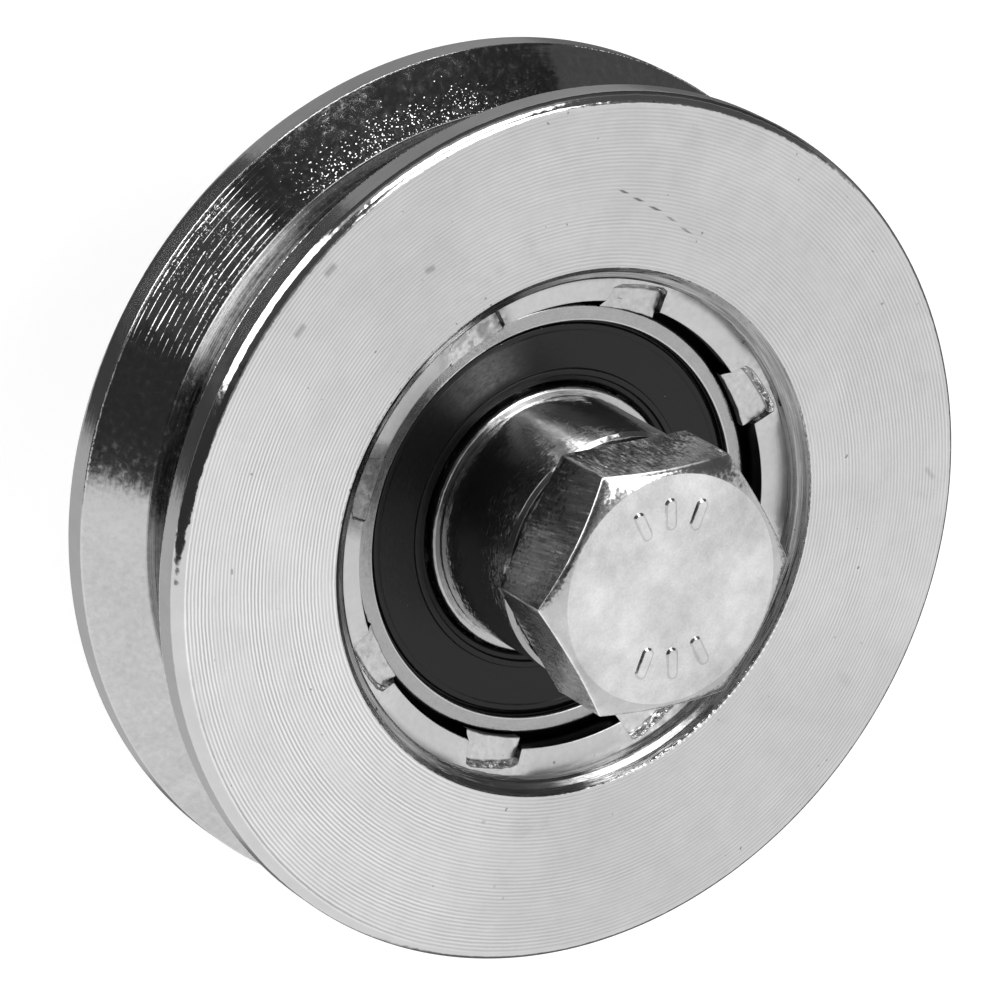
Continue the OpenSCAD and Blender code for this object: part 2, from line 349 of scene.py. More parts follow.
class AxleSpace:
    """Where a point lies around the axle, and which way the turned outline runs through it."""

    def __init__(self, graph):
        self.graph = graph
        self.place = graph.value("ShaderNodeTexCoord", output="Object") * (1 / MM)
        x, y, self.height = graph.split(self.place)
        self.radius = graph.sum("SQRT", x * x + y * y)
        self.angle = graph.sum("ARCTAN2", y, x)
        self.normal = graph.value("ShaderNodeNewGeometry", output="Normal")
        flat = graph.join(-y, x, 0.0)
        settings = {"vector_type": "VECTOR", "convert_from": "OBJECT", "convert_to": "WORLD"}
        around = graph.value("ShaderNodeVectorTransform", settings, {0: flat})
        self.around = graph.vector("NORMALIZE", around)
        self.across = graph.vector("NORMALIZE", graph.vector("CROSS_PRODUCT", self.normal, self.around))
        self.depth = graph.sum("ABSOLUTE", self.height)
        self.upright = graph.sum("ABSOLUTE", graph.split(self.normal)[2])
        # This coordinate grows along every flat, cone and cylinder of the wheel
        self.run = self.radius + self.depth * 0.73

    def ring_place(self, per_mm, around):
        """Coordinates for noise that is fine across the turned lines and long along them."""
        graph = self.graph
        ahead = graph.sum("COSINE", self.angle) * around
        aside = graph.sum("SINE", self.angle) * around
        return graph.join(ahead, aside, self.run * per_mm)

    def noise(self, scale, detail=2.0, roughness=0.5):
        """Noise that is the same in every direction."""
        return self.graph.noise(self.place, scale, detail, roughness)

    def noise_vector(self, scale, detail):
        return self.graph.noise_vector(self.place, scale, detail)

    def ring_noise(self, per_mm, around, detail=2.0, roughness=0.5):
        """Noise that is fine across the turned lines and long along them."""
        return self.graph.noise(self.ring_place(per_mm, around), 1.0, detail, roughness)

    def waves(self, pitch, shift=0.0):
        """A sine across the turned lines, with one crest in each pitch."""
        return self.graph.sum("SINE", self.run * (2 * math.pi / pitch) + shift)

    def tilted(self, across, shake, around=None):
        """The surface's normal, leant across the turned lines, along them and by a vector."""
        made = self.normal + self.across * across
        if around is not None:
            made = made + self.around * around
        return self.graph.vector("NORMALIZE", made + shake)

    def between(self, value, start, end, soft):
        """1 where the value lies between start and end, 0 outside."""
        graph = self.graph
        return graph.ramp(value, start - soft, start + soft) * graph.within(value, end, soft)

    def facing(self, degrees, half, soft, ragged=0.0):
        """1 where the point lies within half of an angle about the axle, in degrees."""
        graph = self.graph
        aside = graph.sum("WRAP", self.angle - math.radians(degrees), math.pi, -math.pi)
        aside = graph.sum("ABSOLUTE", aside) * (180 / math.pi) + ragged
        return graph.within(aside, half, soft)

    def stroke(self, start, end, half, soft):
        """1 along a straight stroke over a face, between two points in millimetres."""
        graph = self.graph
        way = Vector(end) - Vector(start)
        way_x, way_y = way.normalized()
        x, y, _ = graph.split(self.place)
        x = x - start[0]
        y = y - start[1]
        along = x * way_x + y * way_y
        aside = graph.sum("ABSOLUTE", x * way_y - y * way_x)
        return self.between(along, 0.0, way.length, soft) * graph.within(aside, half, soft)


def new_material(name, build):
    """A material whose build function gives the values of its main shader."""
    material = bpy.data.materials.new(name)
    material.use_nodes = True
    tree = material.node_tree
    tree.nodes.clear()
    graph = Graph(tree)
    shader = graph.node("ShaderNodeBsdfPrincipled", None, build(graph))
    graph.node("ShaderNodeOutputMaterial", None, {"Surface": Value(graph, shader.outputs[0])})
    return material


# ---------------------------------------------------------------- finishes


def metal(graph, bright, rough, normal):
    """A neutral metal of that brightness, roughness and normal."""
    return {
        "Base Color": graph.join(bright, bright, bright),
        "Metallic": 1.0,
        "Roughness": rough,
        "Normal": normal,
    }


def chip_marks(graph, space):
    """Lines and flecks where chips have dragged over the groove's walls, and pits beside them."""
    dashes = space.ring_noise(9.0, 170.0, 2.0, 0.7)
    drift = space.ring_noise(1.6, 3.0) * 2.2
    breaks = space.ring_noise(2.2, 26.0, 2.0, 0.6)
    wave = space.waves(CHIP_PITCH, drift)
    lines = graph.ramp(wave + breaks * 0.12 + dashes * 0.11, 0.88, 1.03)
    band = space.ring_noise(0.9, 7.0)
    flecks = graph.ramp(dashes + band * 0.34, 0.22, 0.62) * 0.7
    core = space.facing(265, 13.5, 3.5, breaks * 2.4)
    dragged = graph.sum("MAXIMUM", lines * core, flecks * space.facing(263, 10, 4, breaks * 3))
    clump = space.ring_noise(0.7, 9.0) * 0.2
    spots = space.ring_noise(5.8, 210.0, 0.0) + clump
    spots = spots - graph.ramp(space.depth, 3.8, 6.8) * 0.5
    pits = graph.ramp(spots, 0.6, 0.72) * space.facing(231, 23, 9)
    return dragged, pits, dashes


# Marks on the front face, in millimetres: both ends, half width, softness, and how dark they are.
# The first ones only mark the crests of the rings.
SCRATCHES = (
    ((-27.6, -15.1), (-27.9, -9.7), 0.1, 0.07, 0.7),
    ((-27.9, -9.7), (-27.6, -5.7), 0.09, 0.07, 0.5),
)
SMUDGES = (
    ((-21.1, 30.0), (-20.7, 31.4), 0.2, 0.18, 0.2),
    ((17.5, -30.0), (17.9, -29.7), 0.09, 0.08, 0.5),
    ((21.9, -9.0), (22.1, -8.8), 0.12, 0.08, 0.8),
    ((-9.3, -36.7), (-8.1, -37.0), 0.3, 0.27, 0.35),
    ((-3.6, -36.3), (-2.3, -36.5), 0.25, 0.225, 0.35),
    ((-13.5, -27.7), (-12.8, -28.3), 0.25, 0.225, 0.35),
    ((26.0, 7.0), (26.2, 7.1), 0.2, 0.18, 0.35),
    ((30.6, 11.7), (30.7, 11.8), 0.12, 0.108, 0.35),
)


def handling_marks(graph, space):
    """Scratches, dots and smudges on the front face."""
    marks = graph.ramp(space.noise(1.7, 0.0), 1.14, 1.24) * 0.5
    crests = graph.ramp(space.waves(2 * RING_PITCH), -0.1, 0.5)
    for start, end, half, soft, dark in SCRATCHES:
        marks = marks + space.stroke(start, end, half, soft) * crests * dark
    for start, end, half, soft, dark in SMUDGES:
        marks = marks + space.stroke(start, end, half, soft) * dark
    return marks * graph.ramp(space.height, 7.2, 7.4)


def turned_steel(graph):
    """Bright zinc over turned steel: fine rings and soft clouds, tool marks and pits in the groove."""
    space = AxleSpace(graph)
    in_groove = graph.ramp(space.depth, 7.25, 7.05) * graph.ramp(space.radius, 33, 34)
    on_face = graph.ramp(space.depth, 10.3, 10.38) * graph.ramp(space.radius, 24.3, 24.5)
    on_corner = graph.ramp(space.radius, 38.6, 39.2) * graph.ramp(space.depth, 9.0, 9.4)
    at_mouth = space.between(space.radius, 24.2, 24.62, 0.06) * graph.ramp(space.depth, 10.2, 10.3)
    on_wall = space.between(space.radius, 23.08, 24.36, 0.03)
    on_lip = graph.ramp(space.radius, 23.12, 23.06)
    on_floor = graph.ramp(space.radius, 35.5, 35.25) * in_groove
    # The gap beside the bearing, which the finish paints black as shade
    on_gap_wall = graph.ramp(space.height, 8.02, 7.9) * graph.ramp(space.upright, 0.6, 0.3)
    in_gap = graph.sum("MAXIMUM", on_gap_wall, graph.ramp(space.height, 7.05, 6.9))
    in_gap = in_gap * graph.ramp(space.radius, 21.1, 20.75) * graph.ramp(space.height, 4.0, 4.5)
    worked = graph.value("ShaderNodeAttribute", {"attribute_name": "worked"}, output=2)
    edge = graph.value("ShaderNodeAttribute", {"attribute_name": "edge"}, output=2)

    # Rings that the tool left, deeper in two places where it chattered. These places, set by angle about
    # the axle, also get stronger painted lines and a lighter face: painted light.
    wobble = space.ring_noise(1.2, 22.0) * 0.6
    rings = space.waves(RING_PITCH, space.angle + wobble)
    deep_rings_and_painted_light = space.facing(322, 48, 32) + space.facing(122, 34, 24) * 0.35
    share_of_rings = graph.ramp(space.ring_noise(0.6, 2.0, 3.0), -0.8, 0.8, 0.35, 1)
    rings = rings * share_of_rings * (deep_rings_and_painted_light * 0.72 + 0.28)
    fine = space.ring_noise(5.0, 3.0, 2.0, 0.6)
    finest = space.ring_noise(14.0, 9.0, 2.0, 0.7)
    dragged, pits, dashes = chip_marks(graph, space)
    dragged = dragged * in_groove
    pits = pits * in_groove
    dark = handling_marks(graph, space)
    nick = space.between(space.depth, 7.1, 7.3, 0.03) * graph.ramp(space.radius, 39.7, 39.85)
    nick = nick * graph.ramp(dashes, -0.3, 0.3)
    # Chatter marks at the recess mouth on one side, painted lighter there: real marks with a painted
    # highlight.
    chatter_and_glint = graph.ramp(graph.sum("SINE", space.angle * 240 + wobble * 3), -0.2, 0.6)
    chatter_and_glint = chatter_and_glint * at_mouth * space.facing(75, 22, 10)

    face_lean = rings * 0.02 + fine * 0.010 + finest * 0.014 + (finest * 0.2 + fine * 0.1) * on_wall
    lean = graph.mix(in_groove, face_lean, finest * 0.02 + fine * 0.015)
    lean = lean - dragged * 0.45 - pits * 0.2 + nick * 0.42 - on_lip * (1 - worked) * 0.26
    cloud = space.noise_vector(0.16, 3.0)
    grain = space.noise_vector(2.2, 3.0)
    burr = graph.noise_vector(space.ring_place(5.0, 60.0), 1.0, 3.0)
    blemish = graph.ramp(space.noise(0.9, 5.0, 0.7), 0.85, 1.4) * (1 - in_groove)
    # Lines along the stakes' edges and the feet of their walls, painted dark as shadow
    outline = graph.sum("MAXIMUM", edge, 0.0)
    sheared = graph.sum("MAXIMUM", -edge, 0.0)
    shake = cloud * 0.014 + grain * 0.012
    shake = shake + grain * (blemish * 0.07 + worked * 0.09 + outline * 0.3 + sheared * 1.1)
    shake = shake + burr * (on_corner * 0.05 + at_mouth * 0.17 + pits * 0.10 + chatter_and_glint * 0.3)
    tint = space.noise(0.35, 4.0, 0.6)
    patch = space.noise(1.6, 4.0, 0.65)
    smudge = space.noise(0.07, 3.0, 0.6)
    greasy = graph.ramp(space.noise(0.22, 4.0, 0.6), 0.35, 0.8) * 0.05
    bright = bpy.context.scene.wheel_finishes.turned_steel[0]
    bright = bright + tint * 0.035 + smudge * 0.05 + patch * (0.015 + worked * 0.09) - blemish * 0.06
    bright = bright + on_lip * (patch * 0.035 - 0.04)
    # Rings painted as light and dark lines, stronger where the rings are deeper, with a lighter face there:
    # partly the rings' own look, partly painted light by angle.
    bright = bright + (rings * 0.27 + deep_rings_and_painted_light * 0.14 - 0.06 + finest * 0.04 - greasy) * on_face
    bright = bright - in_groove * (0.08 - patch * 0.08)
    # Painted shade on the recess wall.
    bright = bright - on_wall * (0.36 - fine * 0.22 - finest * 0.16)
    # Painted shade on the groove's floor, darker still towards its middle.
    bright = bright - on_floor * (graph.ramp(space.depth, 3.4, 1.6) * 0.2 + 0.3 - fine * 0.18)
    # Painted shade on the lip, darker towards its outer edge at the foot of the recess wall.
    bright = bright - graph.ramp(space.radius, 22.35, 23.1) * on_lip * (1 - worked) * 0.22
    # Painted shadow lines along the stakes' edges, and painted shade that makes the gap beside the bearing
    # black.
    bright = (bright + sheared * 0.28) * (1 - outline * 0.8) * (1 - in_gap * 0.99) * (1 - dark)
    # Painted highlight on the chatter marks at the recess mouth.
    bright = graph.clamp(bright + chatter_and_glint * 0.3, 0.01, 0.98)
    rough = 0.15 + tint * 0.02 - (in_groove + on_corner) * 0.06 + blemish * 0.1
    rough = rough + on_lip * 0.18 + on_floor * 0.12 + graph.ramp(patch, -0.2, 1.0) * in_groove * 0.12
    return metal(graph, bright, rough, space.tilted(lean, shake))


def bearing_steel(graph):
    """Ground bearing steel with rings and fine dashes along them."""
    space = AxleSpace(graph)
    fine = space.ring_noise(9.0, 12.0, 3.0, 0.7)
    grain = space.noise_vector(3.0, 3.0)
    level = bpy.context.scene.wheel_finishes.bearing_steel[0]
    tint = space.noise(0.8, 4.0, 0.6)
    # The rings' chamfered edges, painted lighter as highlights
    edge = graph.ramp(space.radius, 19.86, 19.93) + space.between(space.radius, 18.42, 18.54, 0.04)
    inner = graph.ramp(space.radius, 13, 12.5)
    patch = space.noise(2.6, 3.0, 0.6)
    bright = level + tint * 0.035 + patch * 0.025 + fine * 0.035 + edge * 0.22 + inner * 0.12
    # Painted highlight on the inner ring at one angle, and painted shade at another.
    bright = bright + inner * (space.facing(234, 9, 7) * 0.36 - space.facing(304, 16, 14) * 0.22)
    # Painted highlight on the outer ring's face at one angle.
    bright = bright + space.facing(276, 7, 8) * (1 - inner) * 0.28
    normal = space.tilted(fine * (inner * 0.12 + 0.05), grain * 0.03)
    return metal(graph, bright, 0.2 + tint * 0.03, normal)


def bush_steel(graph):
    """Dark polished steel with short scratches and specks, and a painted highlight on one side, where its
    normals also lean to catch the lamps.
    """
    space = AxleSpace(graph)
    fine = space.ring_noise(8.0, 14.0, 3.0, 0.7)
    cloud = space.noise_vector(0.7, 3.0)
    grain = space.noise_vector(4.0, 3.0)
    speck = graph.ramp(space.noise(4.0, 2.0, 0.5), 0.95, 1.15)
    patch = space.noise(1.6, 4.0, 0.7)
    # Where the highlight falls, set by angle and height: the colour is painted lighter there, and the
    # normals lean to catch the lamps.
    painted_glint = space.facing(234, 6, 13) * graph.ramp(space.height, 14.8, 12.0, 0.7, 1.0)
    painted_glint = graph.sum("MAXIMUM", painted_glint, space.facing(229, 6, 17) * graph.ramp(space.height, 10.8, 8.2) * 0.8)
    # A second highlight at another angle: normals that lean hard to catch a lamp, and a little painted
    # light.
    wear_and_glint = space.facing(188, 10, 8) * graph.ramp(patch, -2.0, 0.2)
    level = bpy.context.scene.wheel_finishes.bush_steel[0]
    # Painted highlights on one side of the collar.
    bright = level + patch * 0.05 + painted_glint * (patch * 0.16 + 0.28) + wear_and_glint * 0.06
    lean = fine * (0.16 - painted_glint * 0.1) + painted_glint * 0.6 + wear_and_glint * 0.95
    shake = cloud * 0.03 + grain * (speck * 0.5 + 0.05 + (painted_glint + wear_and_glint) * 0.08)
    rough = 0.14 + speck * 0.2 + (painted_glint + wear_and_glint) * 0.24
    return metal(graph, bright, rough, space.tilted(lean, shake))


def zinc_steel(graph):
    """Cold headed steel with a mottled zinc coat, scratches and dents."""
    space = AxleSpace(graph)
    cloud = space.noise_vector(0.5, 4.0)
    grain = space.noise_vector(3.0, 4.0)
    dent = graph.ramp(space.noise(1.4, 4.0, 0.7), 0.7, 1.1)
    speck = graph.ramp(space.noise(3.4, 2.0, 0.6), 0.95, 1.1)
    on_side = graph.ramp(space.upright, 0.6, 0.3) * graph.ramp(space.radius, 10.4, 10.7)
    on_bevel = graph.ramp(space.upright, 0.97, 0.93) * graph.ramp(space.upright, 0.7, 0.8)
    drag = graph.vector("MULTIPLY", space.place, (1.0, 1.0, 0.05)) + cloud * 0.02
    drag = drag + graph.join(space.height * 0.15, space.height * 0.08, 0.0)
    drawn = graph.noise(drag, 3.6, 2.0, 0.6)
    where = graph.ramp(space.noise(0.45), -1.1, 0.3)
    scratch = graph.ramp(drawn, 0.3, 0.7) * on_side * where
    wear_and_glint = grain * (dent * 0.10 + scratch * 0.10 + on_side * 0.02 + on_bevel * 0.03 + speck * 0.12)
    level = bpy.context.scene.wheel_finishes.zinc_steel[0]
    patch = space.noise(0.9, 4.0, 0.7)
    # Rounded edges lighter in patches: partly worn zinc, partly painted highlights.
    edge_wear_and_glint = space.between(space.upright, 0.2, 0.8, 0.08) * graph.ramp(patch, -0.8, 0.4)
    mottle = patch * 0.09 + space.noise(0.21) * 0.22 + space.noise(4.2) * 0.05
    bright = level - 0.09 + mottle * (1 - on_side * 0.65 - on_bevel * 0.4) + speck * 0.12 - dent * 0.05
    # The sides and bevels are painted darker than the top: painted shade.
    bright = bright - on_side * (0.33 - scratch * 0.4 - drawn * 0.22) - on_bevel * 0.17 + edge_wear_and_glint * 0.3
    bright = graph.clamp(bright, 0.05, 0.98)
    rough = 0.15 + dent * 0.06 + on_side * 0.05 + edge_wear_and_glint * 0.2
    normal = space.tilted(0.0, cloud * 0.03 + grain * 0.04 + wear_and_glint, drawn * on_side * 0.12)
    return metal(graph, bright, rough, normal)


def cage_steel(graph):
    """Pressed sheet steel with an even satin face."""
    space = AxleSpace(graph)
    grain = space.noise_vector(4.0, 3.0)
    bright = bpy.context.scene.wheel_finishes.cage_steel[0] + space.noise(1.5, 3.0) * 0.04
    return metal(graph, bright, 0.35, space.tilted(0.0, grain * 0.05))


def ball_steel(graph):
    """Polished balls with a trace of lapping lines."""
    space = AxleSpace(graph)
    grain = space.noise_vector(6.0, 2.0)
    bright = 0.85 + space.noise(2.0) * 0.02
    return metal(graph, bright, 0.08, space.tilted(0.0, grain * 0.006))


def seal_rubber(graph):
    """Black moulded rubber with fine rings that catch the light, dust, and painted highlights on one side.
    """
    space = AxleSpace(graph)
    fine = space.ring_noise(9.0, 20.0, 4.0, 0.75)
    grain = space.noise_vector(5.0, 3.0)
    dust = graph.ramp(space.noise(2.6, 1.0, 0.5), 1.04, 1.1)
    # A painted highlight on the seal's face on one side, mottled by noise.
    painted_glint = space.facing(240, 7, 13) * graph.ramp(space.noise(1.1, 5.0, 0.75) + fine, -1.8, 1.4)
    painted_glint = painted_glint * graph.ramp(space.radius, 17.9, 17.0) * graph.ramp(space.radius, 13.9, 14.8)
    # Painted glints along the seal's rim on the same side.
    rim_glint = graph.ramp(space.radius, 17.75, 17.85) * space.facing(225, 18, 5)
    rim_glint = rim_glint * graph.ramp(space.ring_noise(5.0, 60.0), 0.6, 0.8)
    level = bpy.context.scene.wheel_finishes.rubber[0]
    bright = level + space.noise(1.5, 3.0) * 0.001 + dust * 0.5 + painted_glint * 0.24 + rim_glint * 0.5
    return {
        "Base Color": graph.join(bright, bright, bright),
        "Roughness": 0.3 + dust * 0.3,
        "IOR": 1.42,
        "Normal": space.tilted(fine * 0.12, grain * 0.05),
    }


FINISHES = {
    make.__name__: make
    for make in (turned_steel, bearing_steel, bush_steel, zinc_steel, cage_steel, ball_steel, seal_rubber)
}


def finish(name):
    """The named finish, made when it is first asked for. The CAD model's own materials keep their names."""
    label = name + "_finish"
    return bpy.data.materials.get(label) or new_material(label, FINISHES[name])


# ---------------------------------------------------------------- outlines and meshes


def rounded(points):
    """An outline with rounded corners. Each point is (radius, height, corner radius), in millimetres."""
    made = []
    count = len(points)
    for i, (r, z, corner) in enumerate(points):
        here = Vector((r, z))
        to_last = Vector(points[i - 1][:2]) - here
        to_next = Vector(points[(i + 1) % count][:2]) - here
        opening = to_last.angle(to_next)
        room = 0.45 * min(to_last.length, to_next.length)
        cut = min(corner / math.tan(opening / 2), room)
        if corner <= 0 or cut < 1e-4:
            made.append((r, z))
            continue
        corner = cut * math.tan(opening / 2)
        middle = here + (to_last.normalized() + to_next.normalized()).normalized() * (
            corner / math.sin(opening / 2)
        )
        start = here + to_last.normalized() * cut - middle
        end = here + to_next.normalized() * cut - middle
        sweep = start.angle_signed(end)
        steps = max(3, math.ceil(abs(math.degrees(sweep)) / (6 if corner > 0.5 else 18)))
        for k in range(steps + 1):
            spoke = Matrix.Rotation(-sweep * k / steps, 2) @ start
            made.append(tuple(middle + spoke))
    return made


def finer(points, step):
    """An outline whose long stretches have points at most a step apart."""
    made = []
    for i, here in enumerate(points):
        there = points[(i + 1) % len(points)]
        parts = max(1, math.ceil(math.dist(here, there) / step))
        for k in range(parts):
            made.append(tuple(a + (b - a) * k / parts for a, b in zip(here, there)))
    return made


def mirrored(points, middle=0.0):
    """The outline's mirror image about a height, still running the same way round."""
    return [(r, 2 * middle - z, *rest) for r, z, *rest in reversed(points)]


def grid_faces(lines, points, closed=False):
    """Faces between lines of points that run round, with the last line joined to the first if closed."""
    faces = []
    for i in range(lines if closed else lines - 1):
        here = i * points
        there = (i + 1) % lines * points
        for j in range(points):
            k = (j + 1) % points
            faces.append((here + j, here + k, there + k, there + j))
    return faces


def linked(name, mesh):
    made = bpy.data.objects.new(name, mesh)
    bpy.context.scene.collection.objects.link(made)
    return made


def removed(thing):
    mesh = thing.data
    bpy.data.objects.remove(thing)
    bpy.data.meshes.remove(mesh)


def as_mesh(thing):
    """Keeps what the object's modifiers make as its own plain mesh."""
    graph = bpy.context.evaluated_depsgraph_get()
    mesh = bpy.data.meshes.new_from_object(thing.evaluated_get(graph))
    old = thing.data
    thing.modifiers.clear()
    thing.data = mesh
    bpy.data.meshes.remove(old)
    mesh.name = thing.name


def new_tree(name, **inputs):
    """A geometry tree with named inputs, each given by its socket type."""
    tree = bpy.data.node_groups.new(name, "GeometryNodeTree")
    for label, kind in inputs.items():
        tree.interface.new_socket(
            label.replace("_", " ").capitalize(), in_out="INPUT", socket_type="NodeSocket" + kind
        )
    tree.interface.new_socket("Geometry", in_out="OUTPUT", socket_type="NodeSocketGeometry")
    graph = Graph(tree)
    entry = graph.node("NodeGroupInput")
    given = {label: Value(graph, entry.outputs[i]) for i, label in enumerate(inputs)}
    return tree, graph, given


def close_tree(graph, geometry, material):
    """Every tree ends by realizing its instances and setting the material."""
    smooth = graph.value("GeometryNodeSetShadeSmooth", None, {"Geometry": geometry, "Shade Smooth": True})
    real = graph.value("GeometryNodeRealizeInstances", None, {"Geometry": smooth})
    done = graph.value("GeometryNodeSetMaterial", None, {"Geometry": real, "Material": material})
    graph.node("NodeGroupOutput", None, {"Geometry": done})


def grown(name, tree, inputs):
    """Runs a geometry tree and keeps its result as a plain mesh."""
    host = linked(name, bpy.data.meshes.new(name))
    shape = host.modifiers.new("shape", "NODES")
    shape.node_group = tree
    for item in tree.interface.items_tree:
        if item.in_out == "INPUT":
            shape[item.identifier] = inputs[item.name]
    as_mesh(host)
    if len(host.data.polygons) == 0:
        raise RuntimeError(f"{name}: the tree {tree.name} made no faces")
    host.data.materials.clear()
    host.data.materials.append(inputs["Material"])
    return host


def shaded(thing, sharp=42):
    """Turns faces outwards, and lets each flat keep its own shading up to its rounded edges."""
    shell = bmesh.new()
    shell.from_mesh(thing.data)
    inside_out = shell.calc_volume(signed=True) < 0
    shell.free()
    if inside_out:
        thing.data.flip_normals()
    for face in thing.data.polygons:
        face.use_smooth = True
    thing.data.set_sharp_from_angle(angle=math.radians(sharp))
    weigh = thing.modifiers.new("weigh", "WEIGHTED_NORMAL")
    weigh.mode = "FACE_AREA"
    weigh.keep_sharp = True
    as_mesh(thing)
    return thing


def dressed(thing, body, slot, *nodes):
    """Gives a finished piece its body and its material slot, and hides the CAD nodes that it stands for."""
    if not thing.data.materials:
        thing.data.materials.append(finish(slot))
    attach(thing, body)
    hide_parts(*nodes)


def lathe_tree():
    """Turns an outline about the axle. The outline is drawn from the spindle outwards."""
    tree, graph, given = new_tree(
        "turned ring", outline="Object", spindle="Float", segments="Int", material="Material"
    )
    source = graph.value("GeometryNodeObjectInfo", None, {0: given["outline"]}, "Geometry")
    section = graph.value("GeometryNodeMeshToCurve", None, {0: source})
    sizes = {"Resolution": given["segments"], "Radius": given["spindle"]}
    circle = graph.value("GeometryNodeCurvePrimitiveCircle", None, sizes)
    turned = graph.value("GeometryNodeCurveToMesh", None, {"Curve": circle, "Profile Curve": section})
    close_tree(graph, turned, given["material"])
    return tree


def lathe(name, outline, material, segments):
    """Turns a closed outline, in millimetres, into a ring."""
    spindle = 1.0
    points = [((r - spindle) * MM, -z * MM, 0) for r, z in outline]
    count = len(points)
    mesh = bpy.data.meshes.new("outline")
    mesh.from_pydata(points, [(i, (i + 1) % count) for i in range(count)], [])
    source = linked("outline", mesh)
    tree = bpy.data.node_groups.get("turned ring") or lathe_tree()
    given = {"Outline": source, "Spindle": spindle * MM, "Segments": segments, "Material": finish(material)}
    ring = grown(name, tree, given)
    removed(source)
    return shaded(ring)


def turned(name, outline, body, slot, node, segments=256):
    """Turns a piece and dresses it."""
    dressed(lathe(name, outline, slot, segments), body, slot, node)


# ---------------------------------------------------------------- the wheel


def recess_wall(wheel):
    """The turned steps between the recess and the front face, from the lip outwards."""
    face = wheel.half_width / MM
    mouth = wheel.recess / MM
    lip = wheel.lip_outer / MM
    steps = [
        (lip, wheel.recess_depth / MM, 0.1),
        (lip, 1.0, 0.08),
        (mouth - 1.05, 0.78, 0.05),
        (mouth - 0.56, 0.54, 0.06),
        (mouth, 0.0, 0.03),
    ]
    return [(r, face - drop, corner) for r, drop, corner in steps]


def wheel_outline(wheel, bearing):
    """Half section of the turned wheel, under the staked lip."""
    face = wheel.half_width / MM
    radius = wheel.radius / MM
    mouth = wheel.groove_mouth / MM / 2
    floor = wheel.groove_floor / MM / 2
    root = radius - wheel.groove_depth / MM
    seat = bearing.radius / MM
    rear = bearing.rear / MM
    shoulder = wheel.shoulder / MM
    lip_z = face - (wheel.recess_depth + wheel.lip_fall) / MM
    bed = face - LIP_BED
    half_rim = [
        (radius, face, wheel.corner / MM),
        (radius, mouth, 0.12),
        (root, floor, 0.25),
    ]
    front = recess_wall(wheel)
    back = mirrored(front)
    front[0] = (front[0][0], bed, 0.0)
    return finer(
        rounded(
            [(seat, rear, 0.0), (seat, bed, 0.0)]
            + front
            + half_rim
            + mirrored(half_rim)
            + back
            + [(shoulder + 0.35, -lip_z, 0.2), (shoulder, -lip_z + 0.35, 0.15), (shoulder, rear, 0.1)]
        ),
        1.6,
    )


